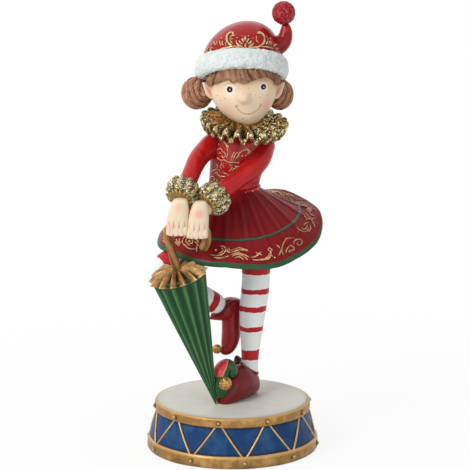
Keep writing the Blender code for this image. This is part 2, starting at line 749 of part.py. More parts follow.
def build_arm(side, palm):
    shoulder = chest + Vector((side * (CHEST_HALF_WIDTH - SHOULDER_RADIUS * 0.30), 0.0, 0.0035))
    if side < 0:
        cuff = palm + Vector((0.0020, 0.0056, 0.0102))
        elbow = shoulder.lerp(cuff, 0.42) + Vector((-0.0014, 0.0012, 0.0016))
    else:
        cuff = palm + Vector((0.0068, 0.0044, 0.0086))
        elbow = shoulder.lerp(cuff, 0.30) + Vector((0.0030, -0.0014, -0.0020))
    forearm = (cuff - elbow).normalized()
    limb(
        f"sleeve_{side}",
        [
            (shoulder - (elbow - shoulder) * 0.15, SHOULDER_RADIUS * 0.85),
            (shoulder + (elbow - shoulder) * 0.25, SHOULDER_RADIUS),
            (elbow, ELBOW_RADIUS * (1.0 if side < 0 else 1.1)),
            (elbow.lerp(cuff, 0.60), (ELBOW_RADIUS + WRIST_RADIUS) / 2),
            (cuff, WRIST_RADIUS),
        ],
        10,
        SCARLET,
    )
    limb(
        f"wrist_{side}",
        [(cuff, WRIST_RADIUS * 0.95), (palm + Z * PALM_HALF_HEIGHT * 0.35, PALM_HALF_DEPTH * 0.90)],
        12,
        SKIN,
        steps=1,
    )
    thick = CUFF_HALF_THICKNESS
    profile = (
        (WRIST_RADIUS * 0.7, thick * 0.7, 0.0),
        (CUFF_RADIUS * 0.86, thick, 1.0),
        (CUFF_RADIUS, thick * 0.1, 1.0),
        (CUFF_RADIUS * 0.84, -thick * 0.8, 0.8),
        (WRIST_RADIUS * 1.25, -thick * 1.1, 0.2),
    )
    frill(f"cuff_{side}", cuff, -forearm, profile, CUFF_PLEATS, CUFF_WAVE, GLITTER)


def build_ruff():
    axis = Vector((math.tan(RUFF_ROLL), -math.tan(RUFF_PITCH), 1.0)).normalized()
    centre = neck + Vector((0.0000, -0.0024, 0.0024))
    thick = RUFF_HALF_THICKNESS
    profile = (
        (NECK_RADIUS * 0.8, thick * 1.3, 0.0),
        (RUFF_RADIUS * 0.62, thick * 1.0, 0.7),
        (RUFF_RADIUS, thick * 1.1, 1.0),
        (RUFF_RADIUS * 1.02, -thick * 1.0, 1.0),
        (RUFF_RADIUS * 0.55, -thick * 0.8, 0.5),
    )
    frill("ruff", centre, axis, profile, RUFF_PLEATS, RUFF_WAVE, GLITTER)


figure = build_drum()
figure.hide_render = False
figure.display_type = "TEXTURED"
forms.objects.unlink(figure)
bpy.context.scene.collection.objects.link(figure)
build_drum_fittings()
build_umbrella()
build_standing_leg()
build_standing_shoe()
build_bent_leg()
build_torso()
build_skirt()
build_head()
build_hair()
build_hat()
build_hands()
build_ruff()

union = figure.modifiers.new("one_casting", "BOOLEAN")
union.operation = "UNION"
union.operand_type = "COLLECTION"
union.collection = forms
union.solver = "EXACT"
union.material_mode = "TRANSFER"
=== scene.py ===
"""The looks of a Christmas elf girl who stands on a toy drum and leans on a closed umbrella.

The figure is one hand-painted resin casting. Each section models one of its forms, in millimetres, and its paint.
+Z is up, the figure faces -Y, and the origin is the centre of the drum's underside.
"""

import math

import bmesh
import bpy
from mathutils import Matrix, Vector, noise
from mathutils.bvhtree import BVHTree


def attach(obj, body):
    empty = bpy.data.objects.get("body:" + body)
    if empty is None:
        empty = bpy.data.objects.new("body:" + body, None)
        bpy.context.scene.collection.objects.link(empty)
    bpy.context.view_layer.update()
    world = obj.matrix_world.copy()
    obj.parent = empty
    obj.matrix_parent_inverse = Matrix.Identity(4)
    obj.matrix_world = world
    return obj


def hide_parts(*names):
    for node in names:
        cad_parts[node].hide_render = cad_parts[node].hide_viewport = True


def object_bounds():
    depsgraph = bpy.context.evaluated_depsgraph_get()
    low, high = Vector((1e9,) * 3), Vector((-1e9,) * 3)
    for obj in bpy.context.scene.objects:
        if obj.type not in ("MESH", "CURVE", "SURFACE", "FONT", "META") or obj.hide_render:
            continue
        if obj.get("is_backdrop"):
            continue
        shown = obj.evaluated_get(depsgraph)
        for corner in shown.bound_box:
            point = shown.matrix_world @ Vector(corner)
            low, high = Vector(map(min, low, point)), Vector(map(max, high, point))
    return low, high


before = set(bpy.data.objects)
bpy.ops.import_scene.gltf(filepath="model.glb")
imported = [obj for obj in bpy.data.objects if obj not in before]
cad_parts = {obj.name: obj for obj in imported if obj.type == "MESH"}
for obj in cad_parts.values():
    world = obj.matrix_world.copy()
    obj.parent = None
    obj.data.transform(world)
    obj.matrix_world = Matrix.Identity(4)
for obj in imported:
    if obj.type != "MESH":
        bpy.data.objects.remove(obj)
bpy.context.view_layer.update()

# ---------------------------------------------------------------- the drum shell
# The wall of the toy drum that she stands on: cast resin with a slight taper.
# Brushed with royal blue enamel, thin enough in places to let a paler coat through, with painted shade next to the
# hoops.


def linear(colour):
    """An sRGB hex colour as linear RGBA."""
    channels = [int(colour[i : i + 2], 16) / 255 for i in (0, 2, 4)]
    return (*[c / 12.92 if c <= 0.04045 else ((c + 0.055) / 1.055) ** 2.4 for c in channels], 1.0)


def add(tree, kind, inputs=None, **settings):
    """Adds a node. An input that is given a socket is linked, and any other value is set on it."""
    made = tree.nodes.new(kind)
    for name, value in settings.items():
        setattr(made, name, value)
    for key, value in (inputs or {}).items():
        if isinstance(value, bpy.types.NodeSocket):
            tree.links.new(value, made.inputs[key])
        else:
            made.inputs[key].default_value = linear(value) if isinstance(value, str) else value
    return made


def maths(tree, operation, *values):
    """The result of a maths node."""
    return add(tree, "ShaderNodeMath", dict(enumerate(values)), operation=operation).outputs[0]


def ramp(tree, value, start, end, top=1.0, low=0.0, **settings):
    """Goes from low, where the value is at start, to top, where it is at end."""
    limits = {"Value": value, "From Min": start, "From Max": end, "To Min": low, "To Max": top}
    return add(tree, "ShaderNodeMapRange", limits, **settings).outputs[0]


def mixed(tree, share, first, second):
    """Two colours mixed, all of the second where the share is 1."""
    return add(tree, "ShaderNodeMix", {0: share, 6: first, 7: second}, data_type="RGBA").outputs[2]


def paint(
    name, colour, shade, light, rough=0.35, coat=0.3, patch=6.0, grain=0.9, relief=0.03, metal=0.0, dapple=0.45,
):
    """Brushed enamel: a main colour that varies in patches, painted shade in the hollows and painted highlight on proud
    edges.
    The sizes of patch, grain and relief are in millimetres. The hollow attribute runs from -1, proud, to 1, deep."""
    material = bpy.data.materials.new(name)
    material.use_nodes = True
    tree = material.node_tree
    shader = tree.nodes["Principled BSDF"]
    where = add(tree, "ShaderNodeTexCoord").outputs["Object"]
    mm = add(tree, "ShaderNodeMapping", {"Vector": where, "Scale": (1000, 1000, 1000)}).outputs[0]
    broad = add(tree, "ShaderNodeTexNoise", {"Vector": mm, "Scale": 1 / patch, "Detail": 5, "Roughness": 0.62}).outputs[0]
    fine = add(tree, "ShaderNodeTexNoise", {"Vector": mm, "Scale": 1 / grain, "Detail": 3, "Roughness": 0.6}).outputs[0]
    deep = add(tree, "ShaderNodeAttribute", attribute_name="hollow").outputs["Fac"]
    tone = mixed(tree, ramp(tree, broad, 0.46, 0.72, dapple), colour, light)
    # painted shade darkens the hollows unevenly, and painted highlight lightens only what stands proud
    hollow_shade = maths(tree, "MULTIPLY", deep, maths(tree, "MULTIPLY_ADD", fine, 0.5, 0.75))
    shaded_tone = mixed(tree, add(tree, "ShaderNodeClamp", {0: hollow_shade}).outputs[0], tone, shade)
    highlighted_tone = mixed(tree, ramp(tree, deep, -0.15, -1.0, 0.75), shaded_tone, light)
    bump = add(tree, "ShaderNodeBump", {"Height": fine, "Distance": relief / 1000, "Strength": 1.0}).outputs[0]
    tree.links.new(highlighted_tone, shader.inputs["Base Color"])
    tree.links.new(ramp(tree, fine, 0.3, 0.7, rough + 0.08, rough - 0.06), shader.inputs["Roughness"])
    tree.links.new(bump, shader.inputs["Normal"])
    for setting, value in (
        ("Metallic", metal), ("Specular IOR Level", 0.12),
        ("Coat Weight", coat), ("Coat IOR", 1.38), ("Coat Roughness", 0.14),
    ):
        shader.inputs[setting].default_value = value
    return {"tree": tree, "material": material, "shader": shader, "mm": mm, "colour": highlighted_tone, "broad": broad}


def over(coat, mask, colour):
    """Brushes a further colour over a paint, where the mask is 1."""
    coat["colour"] = mixed(coat["tree"], mask, coat["colour"], colour)
    coat["tree"].links.new(coat["colour"], coat["shader"].inputs["Base Color"])


def wrap(bm, columns, rows, place):
    """Bends a grid round a form. place(turn, share) gives the point in millimetres and how deep it lies, -1 to 1."""
    deep = bm.verts.layers.float.get("hollow") or bm.verts.layers.float.new("hollow")
    made = bmesh.ops.create_grid(bm, x_segments=columns, y_segments=rows, size=0.5)["verts"]
    for vertex in made:
        vertex.co, vertex[deep] = place((vertex.co.x + 0.5) * math.tau, vertex.co.y + 0.5)
    bmesh.ops.remove_doubles(bm, verts=made, dist=1e-4)


def piece(name, bm, coat, fill=True):
    """Turns a mesh in millimetres into a piece of the casting, painted, and held by the one body."""
    if fill:
        bmesh.ops.holes_fill(bm, edges=[edge for edge in bm.edges if edge.is_boundary], sides=0)
    bmesh.ops.scale(bm, vec=(0.001, 0.001, 0.001), verts=bm.verts)
    bmesh.ops.recalc_face_normals(bm, faces=bm.faces)
    mesh = bpy.data.meshes.new(name)
    bm.to_mesh(mesh)
    bm.free()
    mesh.materials.append(coat["material"])
    mesh.shade_smooth()
    made = bpy.data.objects.new(name, mesh)
    bpy.context.scene.collection.objects.link(made)
    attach(made, "root")
    return made


def turned(bm, profile, columns, wobble=0.0, hollows=None):
    """A lathed form: the profile's points are (radius, height), and hollows says how deep each one lies."""
    rows = len(profile) - 1

    def place(turn, share):
        radius, height = profile[round(share * rows)]
        spot = Vector((math.cos(turn), math.sin(turn), height / 9))
        if radius > 1:
            radius += wobble * noise.noise(spot * 3.1)
        deep = hollows[round(share * rows)] if hollows else 0.0
        return Vector((radius * math.cos(turn), radius * math.sin(turn), height)), deep

    wrap(bm, columns, rows, place)


DRUM_HEIGHT = 23.2
BASE_RADIUS, TOP_RADIUS = 41.0, 37.3
BASE_HOOP, TOP_HOOP = 6.0, 4.4
HOOP_PROUD = 1.1
SHELL_TOP = DRUM_HEIGHT - TOP_HOOP


def wall(height):
    """The shell's radius at a height."""
    share = (height - BASE_HOOP) / (SHELL_TOP - BASE_HOOP)
    return (BASE_RADIUS - HOOP_PROUD) * (1 - share) + (TOP_RADIUS - HOOP_PROUD) * share


# Royal blue enamel, satin, with paler worn patches and painted shade where it meets the gilt hoops
blue = paint(
    "royal_blue_enamel", "143A68", "091932", "3F6F92", rough=0.45, coat=0.1, patch=9.0, grain=0.7, relief=0.06,
    dapple=0.45,
)
bm = bmesh.new()
heights = [BASE_HOOP - 0.8 + (SHELL_TOP - BASE_HOOP + 1.6) * i / 26 for i in range(27)]
# the hollows give painted shade close to each hoop
turned(
    bm,
    [(wall(z), z) for z in heights],
    220,
    wobble=0.22,
    hollows=[max(0.0, 1 - (min(z - BASE_HOOP, SHELL_TOP - z)) / 1.5) * 0.9 for z in heights],
)
shell = piece("drum_shell", bm, blue)
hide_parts("elf_figurine")

# ---------------------------------------------------------------- the drum hoops and nails
# Two hoops grip the shell, each with ten round nail heads; on the real figure they are cast in one with the drum.
# Old gold paint over brown, with painted highlight on the edges and painted shade underneath; the lower hoop turns
# olive-brown towards the bottom.

NAILS = 10
NAIL_RADIUS = 1.45
FIRST_NAIL = math.radians(-10)


def around(radius, turn, height):
    """A point on the drum; turn 0 is the front, and it grows towards +X."""
    return Vector((radius * math.sin(turn), -radius * math.cos(turn), height))


def coordinate(coat, axis):
    """A point's x, y or z in millimetres, for axis 0, 1 or 2."""
    return add(coat["tree"], "ShaderNodeSeparateXYZ", {0: coat["mm"]}).outputs[axis]


# Old gold over a brown ground, half metallic, turning unevenly olive-brown towards the bottom of the lower hoop
gilt = paint(
    "old_gold_on_brown", "9C7340", "3E2A12", "D2A96C", rough=0.4, coat=0.15, patch=6.0, grain=0.8, relief=0.09,
    metal=0.5, dapple=0.8,
)
olive_patches = add(gilt["tree"], "ShaderNodeTexNoise", {"Vector": gilt["mm"], "Scale": 0.055, "Detail": 3}).outputs[0]
low_down = ramp(gilt["tree"], coordinate(gilt, 2), 5.8, 0.6)
olive = ramp(gilt["tree"], olive_patches, 0.42, 0.62, 0.85)
over(gilt, maths(gilt["tree"], "MULTIPLY", low_down, olive), "4E4322")

bm = bmesh.new()
base = [
    (0, 0), (20, 0), (39.6, 0), (40.6, 0.25), (41.0, 0.9), (41.05, 2.0), (41.0, 3.4), (40.95, 4.6), (40.75, 5.5),
    (40.35, 6.0), (39.7, 6.15), (38.6, 6.1),
]
# painted highlight on the top edge, and painted shade underneath and where the hoop meets the shell
turned(bm, base, 240, wobble=0.28, hollows=[0.6, 0.6, 0.6, 0.5, 0.1, 0.0, 0.0, -0.2, -0.9, -0.8, 0.5, 1.0])
piece("drum_base_hoop", bm, gilt)

bm = bmesh.new()
top = [
    (35.0, 18.6), (36.1, 18.5), (36.9, 18.75), (37.25, 19.3), (37.3, 20.4), (37.3, 21.6), (37.25, 22.5),
    (36.95, 23.05), (36.4, 23.25), (35.9, 23.15), (35.0, 22.6),
]
# painted highlight on the top edge, and painted shade underneath and where the hoop meets the shell and the skin
turned(bm, top, 240, wobble=0.25, hollows=[1.0, 0.8, 0.1, -0.3, 0.0, 0.0, -0.1, -0.9, -0.7, 0.5, 1.0])
piece("drum_top_hoop", bm, gilt)

# Nail heads: a domed boss in a sunk ring, with painted shade in the ring and round the foot, and painted highlight on
# the top of the dome
nail_gilt = paint(
    "gilt_nail_heads", "9A6E38", "2A1C0A", "DDB778", rough=0.3, coat=0.3, patch=3.0, grain=0.5, relief=0.03,
    metal=0.6,
)
bm = bmesh.new()
dome = [
    (1.55, -0.9, 1.0), (1.5, 0.05, 1.0), (1.38, 0.34, 0.6), (1.2, 0.42, -0.4), (1.02, 0.34, 0.9), (0.92, 0.36, 0.9),
    (0.82, 0.62, 0.1), (0.55, 0.92, -0.6), (0.28, 1.04, -0.9), (0.0, 1.08, -1.0),
]
for k in range(NAILS):
    for radius, height, shift in ((TOP_RADIUS, DRUM_HEIGHT - TOP_HOOP / 2, 0.0), (BASE_RADIUS, BASE_HOOP / 2, 0.5)):
        angle = FIRST_NAIL + (k + shift) * math.tau / NAILS
        out, aside, foot = around(1, angle, 0), around(1, angle + math.pi / 2, 0), around(radius, angle, height)

        def head_of_nail(turn, share, out=out, aside=aside, foot=foot):
            wide, proud, deep = dome[round(share * (len(dome) - 1))]
            spread = (aside * math.cos(turn) + Vector((0, 0, 1)) * math.sin(turn)) * wide * NAIL_RADIUS / 1.55
            return foot + spread + out * proud * 1.05, deep

        wrap(bm, 16, len(dome) - 1, head_of_nail)
piece("drum_nails", bm, nail_gilt)

# ---------------------------------------------------------------- the drum lacing
# Cords laced in a zigzag between the hoops hold a drum's skin tight; here they are raised ribs of the casting.
# Picked out in pale gold with painted highlight on top, and painted shadow along each side: a dark strip under each
# cord, and darker sides on the cord itself.

LACE_HALF_WIDTH = 0.50
LACE_PROUD = 0.75
LACE_SPREAD = 1.25

lace_gold = paint(
    "pale_gold_lacing", "AE8A58", "4E3820", "D8BC8C", rough=0.36, coat=0.25, patch=3.5, grain=0.6, relief=0.03,
    metal=0.45, dapple=0.8,
)
# A dark strip under each cord, wider than it, painted as the cord's shadow
lace_shadow = paint(
    "painted_lace_shadow", "23222E", "12111C", "3A3240", rough=0.5, coat=0.1, patch=2.5, grain=0.5, relief=0.02,
)
cords, lines = bmesh.new(), bmesh.new()
for k in range(NAILS):
    low_turn = FIRST_NAIL + (k + 0.5) * math.tau / NAILS
    for side in (-1, 1):
        low = low_turn + side * 0.6 / BASE_RADIUS
        high = low_turn + side * (math.tau / NAILS / 2 - LACE_SPREAD / TOP_RADIUS)
        for cord_mesh, half, proud in ((cords, LACE_HALF_WIDTH, LACE_PROUD), (lines, LACE_HALF_WIDTH * 2.0, 0.12)):

            def rib(turn, share, low=low, high=high, half=half, proud=proud):
                height = BASE_HOOP - 0.9 + (SHELL_TOP - BASE_HOOP + 1.5) * share
                angle = low + (high - low) * share
                out = around(1, angle, 0)
                along = (around(TOP_RADIUS, high, SHELL_TOP) - around(BASE_RADIUS, low, BASE_HOOP)).normalized()
                aside = along.cross(out).normalized()
                spot = around(wall(height) - 0.12, angle, height)
                # painted shade on the sides of the cord and painted highlight on its top
                deep = 0.75 if math.sin(turn) < 0.35 else -0.5
                return spot + aside * half * math.cos(turn) + out * proud * math.sin(turn), deep

            wrap(cord_mesh, 10, 14, rib)
piece("drum_lacing", cords, lace_gold)
piece("drum_lacing_shadow_lines", lines, lace_shadow)

# ---------------------------------------------------------------- the drum skin
# The drumhead that she stands on: a nearly flat disc, a little proud inside the top hoop.
# Cream paint, matt, with faint grey patches and a soft painted shade round the edge, where it meets the hoop.

SKIN_RADIUS = 36.3
DECK = 23.8

parchment = paint(
    "cream_drumhead", "D8D7CC", "A39C86", "E4E3DA", rough=0.58, coat=0.0, patch=11.0, grain=0.8, relief=0.05,
    dapple=0.6,
)
bm = bmesh.new()
skin_rows = [(0, 0)] + [(SKIN_RADIUS * s / 16, 0) for s in range(1, 15)] + [
    (34.9, 0.02), (35.5, 0.1), (35.95, 0.3), (36.2, 0.62), (36.3, 1.1),
]


def drumhead(turn, share):
    radius, drop = skin_rows[round(share * (len(skin_rows) - 1))]
    spot = Vector((radius * math.cos(turn), radius * math.sin(turn), 0))
    swell = 0.10 * noise.noise(spot / 7) + 0.05 * noise.noise(spot / 2.3)
    # painted shade towards the rim, where the skin meets the hoop
    deep = max(0.0, (radius - 34.6) / 1.7) * 0.8
    return spot + Vector((0, 0, DECK - drop + swell * (1 if drop < 0.05 else 0))), deep


wrap(bm, 200, len(skin_rows) - 1, drumhead)
piece("drum_skin", bm, parchment)

# ---------------------------------------------------------------- the standing leg
# Her left leg, planted on the drum, in striped stockings: one smooth limb from the shoe up under the skirt.
# White satin paint with hand-brushed red hoops whose edges waver.

LEG = [
    (8.0, 3.5, 32.7, 4.15), (8.5, 4.0, 44.1, 4.25), (9.5, 4.0, 63.6, 6.2), (10.8, 3.2, 75.3, 6.65),
    (11.2, 2.6, 84.8, 6.75), (11.2, 2.2, 97.3, 8.0), (8.1, 2.0, 108.5, 8.0),
]
# Where the hoops lie, from height to height, and how far their edges waver
RED_HOOPS = ((41.6, 46.6), (55.8, 58.3), (65.7, 68.3), (74.6, 77.0), (84.2, 88.6), (95.0, 97.8))
HOOP_WAVER = 1.5


def smoothed(joints, count):
    """Even steps along a smooth curve through the joints, which are tuples of any one length that start x, y, z."""
    padded, dense = [joints[0], *joints, joints[-1]], []
    for a, b, c, d in zip(padded, padded[1:], padded[2:], padded[3:]):
        for step in range(20):
            t = step / 20
            dense.append([
                (2 * q + (r - p) * t + (2 * p - 5 * q + 4 * r - s) * t**2 + (3 * q - p - 3 * r + s) * t**3) / 2
                for p, q, r, s in zip(a, b, c, d)
            ])
    dense.append(list(joints[-1]))
    run = [0.0]
    for a, b in zip(dense, dense[1:]):
        run.append(run[-1] + (Vector(b[:3]) - Vector(a[:3])).length)
    found, i = [], 0
    for step in range(count + 1):
        goal = run[-1] * step / count
        while i < len(run) - 2 and run[i + 1] < goal:
            i += 1
        t = (goal - run[i]) / max(1e-9, run[i + 1] - run[i])
        found.append([p + (q - p) * t for p, q in zip(dense[i], dense[i + 1])])
    return found, run[-1]


def limb(bm, joints, columns, rows, section=None, flatten=1.0, side=Vector((1, 0, 0)), blunt=(1.0, 1.0)):
    """A round-ended tube through joints, each x, y, z and radius. section(turn, share) gives a scale and a depth."""
    stations, length = smoothed(joints, rows)
    centres = [Vector(s[:3]) for s in stations]
    frames = []
    for i, station in enumerate(stations):
        heading = (centres[min(i + 1, rows)] - centres[max(i - 1, 0)]).normalized()
        side = (side - heading * side.dot(heading)).normalized()
        radius = station[3]
        for gone, bluntness in ((length * i / rows, blunt[0]), (length * (rows - i) / rows, blunt[1])):
            cap = joints[0][3] if gone < length / 2 else joints[-1][3]
            cap *= bluntness
            if gone < cap:
                radius *= math.sqrt(max(0.0, 1 - (1 - gone / cap) ** 2))
        frames.append((centres[i], side, heading.cross(side) * flatten, radius))

    def place(turn, share):
        centre, across, along, radius = frames[round(share * rows)]
        scale, deep = section(turn, share) if section else (1.0, 0.0)
        return centre + (across * math.cos(turn) + along * math.sin(turn)) * radius * scale, deep

    wrap(bm, columns, rows, place)


def band(coat, value, low, high):
    """A mask that is 1 where the value lies between low and high."""
    return maths(coat["tree"], "COMPARE", value, (low + high) / 2, (high - low) / 2)


def stocking_white(name):
    """White satin stocking paint, faintly green-grey in the shade, with a soft brushed surface."""
    return paint(
        name, "EDF1F0", "B8BFBD", "F4F7F6", rough=0.42, coat=0.15, patch=8.0, grain=1.2, relief=0.04, dapple=0.5,
    )


def hooped(coat, run, hoops):
    """Brushes red hoops round a stocking; run is how far along the limb a point lies."""
    tree = coat["tree"]
    wander = add(tree, "ShaderNodeTexNoise", {"Vector": coat["mm"], "Scale": 0.32, "Detail": 2}).outputs[0]
    wavy = maths(tree, "MULTIPLY_ADD", wander, HOOP_WAVER, run)
    thin_red = mixed(tree, coat["broad"], "A81220", "C93038")
    for low, high in hoops:
        over(coat, band(coat, wavy, low + HOOP_WAVER / 2, high + HOOP_WAVER / 2), thin_red)


stocking = stocking_white("white_stocking_with_red_hoops")
hooped(stocking, coordinate(stocking, 2), RED_HOOPS)
bm = bmesh.new()
limb(bm, LEG, 56, 90)
piece("standing_leg", bm, stocking)

# ---------------------------------------------------------------- the standing shoe
# A soft elf boot on the planted foot: a full heel and instep, and a toe that curls back up to carry a gilt bobble.
# Dark wine enamel, glossy; the curl is bright red on the near side and green on the far side, with a gilt line between.

HEEL = Vector((5.6, 3.2, 23.8))
AHEAD, ASIDE = Vector((-0.5446, -0.8387, 0)), Vector((0.8387, -0.5446, 0))
SHOE_LENGTH, SHOE_HALF_WIDTH, SHOE_HEIGHT = 23.0, 7.2, 16.0
SOLE_AT, SHOE_ROWS = 23.1, 60
# Along the foot: share of the length, share of the width, share of the height
SHOE = [
    (-0.225, 0.10, 0.26), (-0.20, 0.44, 0.50), (-0.14, 0.68, 0.68), (-0.02, 0.92, 0.86), (0.22, 1.04, 1.02),
    (0.48, 1.03, 1.03), (0.74, 0.86, 0.84), (0.90, 0.62, 0.58), (0.97, 0.36, 0.36), (0.99, 0.08, 0.14),
]

wine = paint(
    "dark_wine_enamel", "701115", "3A060A", "8A1E22", rough=0.26, coat=0.35, patch=6.0, grain=1.6, relief=0.03,
    dapple=0.45,
)
bm = bmesh.new()
foot, _ = smoothed([(s * SHOE_LENGTH, w * 10, h * 10) for s, w, h in SHOE], SHOE_ROWS)


def hump(distance, width):
    """A smooth bell: 1 where the distance is 0, and gone at a few widths."""
    return math.exp(-((distance / width) ** 2))


def instep(turn, share):
    run, wide, tall = foot[round(share * SHOE_ROWS)]
    tall *= SHOE_HEIGHT / 10
    up = math.sin(turn)
    centre = HEEL + AHEAD * (run - 0.12 * SHOE_LENGTH) + Vector((0, 0, tall / 2 - 0.9))
    # the lower half is a little flatter and wider than the upper
    below = max(0.0, -up)
    spot = centre + ASIDE * SHOE_HALF_WIDTH * wide / 10 * math.cos(turn) * (1 + 0.06 * min(1.0, below * 2))
    spot += Vector((0, 0, (tall / 2 + 0.5) * up * (1 - 0.10 * below)))
    soft = 0.35 * noise.noise(spot / 5.5)
    # painted shade in a crease across the instep and on the underside where the shoe meets the drum
    crease = hump(run / SHOE_LENGTH - 0.40 - 0.10 * math.cos(turn), 0.07) * max(0.0, up) * 0.12
    shaded_underside = 0.9 if up < -0.80 else 0.0
    spot += (spot - centre).normalized() * (soft - crease)
    spot.z = max(spot.z, SOLE_AT)
    return spot, min(1.0, crease * 0.9 + shaded_underside)


wrap(bm, 72, SHOE_ROWS, instep)
piece("standing_shoe", bm, wine)

TOE = HEEL + AHEAD * SHOE_LENGTH * 0.80
bm = bmesh.new()
curl_joints = [
    (0.6, 0.6, 3.4, 4.0), (-1.8, -0.6, 9.2, 3.9), (-0.8, 1.0, 15.2, 4.1), (1.9, 2.2, 17.4, 3.9),
    (3.9, 1.6, 15.0, 3.2), (3.2, 0.0, 12.4, 2.5),
]
limb(bm, [(TOE.x + x, TOE.y + y, TOE.z + z, r) for x, y, z, r in curl_joints], 48, 56)
curl_paint = paint(
    "scarlet_toe_with_green_side", "F03C48", "8A121C", "FF9AA0", rough=0.2, coat=0.7, patch=4.0, grain=1.2,
    relief=0.02, dapple=0.6,
)
# The parting line runs down the near face of the curl, so its masks are the side of one slanted plane.
# The red also stops above the bobble, at a second line: from there down the curl is green right across.
PARTING_NORMAL, PARTING_AT = (0.93, -0.05, -0.36), -16.8
RED_STOPS = 37.7
slanted = {0: curl_paint["mm"], 1: PARTING_NORMAL}
split = add(curl_paint["tree"], "ShaderNodeVectorMath", slanted, operation="DOT_PRODUCT").outputs["Value"]
parting = maths(curl_paint["tree"], "MULTIPLY_ADD", curl_paint["broad"], 0.9, split)
level = coordinate(curl_paint, 2)
for value, low, high, colour in (
    (level, RED_STOPS, RED_STOPS + 0.5, "A87C40"),
    (parting, PARTING_AT, PARTING_AT + 60, "1F4A22"),
    (parting, PARTING_AT - 0.30, PARTING_AT + 0.22, "C99A55"),
    (level, 10.0, RED_STOPS, "1F4A22"),
):
    over(curl_paint, band(curl_paint, value, low, high), colour)
piece("shoe_toe_curl", bm, curl_paint)

# Behind the instep the cuff of the boot rises to a dark point
bm = bmesh.new()
flap = HEEL + Vector((-2.2, 4.0, SHOE_HEIGHT * 0.85))
limb(
    bm,
    [
        (flap.x, flap.y, flap.z, 3.5), (flap.x - 0.9, flap.y + 1.6, flap.z + 2.4, 2.2),
        (flap.x - 1.6, flap.y + 2.6, flap.z + 4.4, 1.8),
    ],
    28, 20,
)
piece(
    "shoe_cuff_point", bm,
    paint("dark_bronze_green_edge", "33191A", "1B1410", "4B4A40", rough=0.35, coat=0.4, patch=4.0),
)

# The opening of the boot: a rolled edge round the ankle, higher at the front
bm = bmesh.new()
rim = []
for i in range(33):
    a = math.tau * i / 32
    out, back = math.cos(a), math.sin(a)
    rim.append((8.0 + 4.1 * out, 3.4 + 4.1 * back, 37.2 - 2.6 * out - 0.2 * back, 0.65))
limb(bm, rim, 12, 96, blunt=(0.01, 0.01))
piece("shoe_rolled_edge", bm, wine)

# ---------------------------------------------------------------- the gilt bobbles
# Small balls sewn to the toes of both shoes: knobbly, as a bell or a knot of bullion is.
# Coarse gold paint, with painted highlight on the knobs and green-brown painted shade in the gaps.


def on_ball(turn, polar):
    """The way out from a ball's centre."""
    return Vector((math.sin(polar) * math.cos(turn), math.sin(polar) * math.sin(turn), math.cos(polar)))


def knobbly(bm, centre, radius, columns, rows, lumps, depth):
    """A ball that is covered in small round lumps."""

    def place(turn, share):
        way = on_ball(turn, math.pi * share)
        near = noise.voronoi(way * lumps)[0]
        gap = min(1.0, max(0.0, 1 - (near[1] - near[0]) * 3.2))
        # painted shade in the gaps between the lumps and painted highlight on them
        return Vector(centre) + way * radius * (1 - depth * gap**1.5 + 0.02), gap * 1.3 - 0.55

    wrap(bm, columns, rows, place)


bobble = paint(
    "bullion_gold", "B9803C", "3A2A10", "F0CE8C", rough=0.28, coat=0.3, patch=1.6, grain=0.5, relief=0.06, metal=0.6,
    dapple=0.9,
)
bm = bmesh.new()
knobbly(bm, TOE + Vector((0.9, -3.0, 10.6)), 3.2, 64, 40, 2.6, 0.16)
knobbly(bm, (-7.5, 4.7, 46.2), 2.3, 48, 30, 2.4, 0.16)
piece("toe_bobbles", bm, bobble)

# ---------------------------------------------------------------- the crossed leg
# Her right leg, bent and crossed behind: thigh out to the knee, then the shin back down to the hanging boot.
# The same white stocking paint; the red hoops run square to the limb.

THIGH_TO_ANKLE = [
    (-8.0, 0.0, 104.0, 6.8), (-22.0, -4.4, 94.7, 6.8), (-33.5, -8.0, 86.0, 6.5), (-20.2, -0.35, 76.2, 5.85),
    (-4.0, 9.0, 65.5, 4.8),
]
# Where the hoops cross the limb: distance along it in millimetres, low to high
BENT_HOOPS = ((8.0, 12.0), (24.2, 29.0), (38.5, 41.0), (49.5, 53.0), (61.8, 66.0))

bent = stocking_white("white_stocking_crossed_leg")
hooped(bent, add(bent["tree"], "ShaderNodeAttribute", attribute_name="run").outputs["Fac"], BENT_HOOPS)
bm = bmesh.new()
limb(bm, THIGH_TO_ANKLE, 56, 90)
_, leg_length = smoothed(THIGH_TO_ANKLE, 90)
runs = bm.verts.layers.float.new("run")
line, _ = smoothed(THIGH_TO_ANKLE, 360)
for vertex in bm.verts:
    nearest = min(range(361), key=lambda i: (vertex.co - Vector(line[i][:3])).length_squared)
    vertex[runs] = leg_length * nearest / 360
piece("crossed_leg", bm, bent)

# ---------------------------------------------------------------- the hanging boot
# The boot of the crossed leg, held toe down behind the standing leg, its turned-down top running out to a point.
# The dark wine enamel of the standing shoe, painted lighter on this boot and its turned top as painted light, with a
# dark line of the unlightened wine along the top edge.

BOOT = [
    (-0.2, 11.2, 70.2, 4.2), (-0.5, 11.2, 64.2, 4.7), (-0.7, 10.6, 57.4, 4.6), (-0.8, 9.8, 51.6, 4.6),
    (-1.9, 8.4, 47.2, 3.8), (-3.8, 6.9, 45.2, 2.7), (-6.2, 5.3, 46.2, 1.5),
]
bm = bmesh.new()
limb(
    bm, BOOT, 48, 64, section=lambda turn, share: (1 + 0.03 * math.sin(9 * share + 2 * turn), 0.0), blunt=(0.35, 1.0),
)
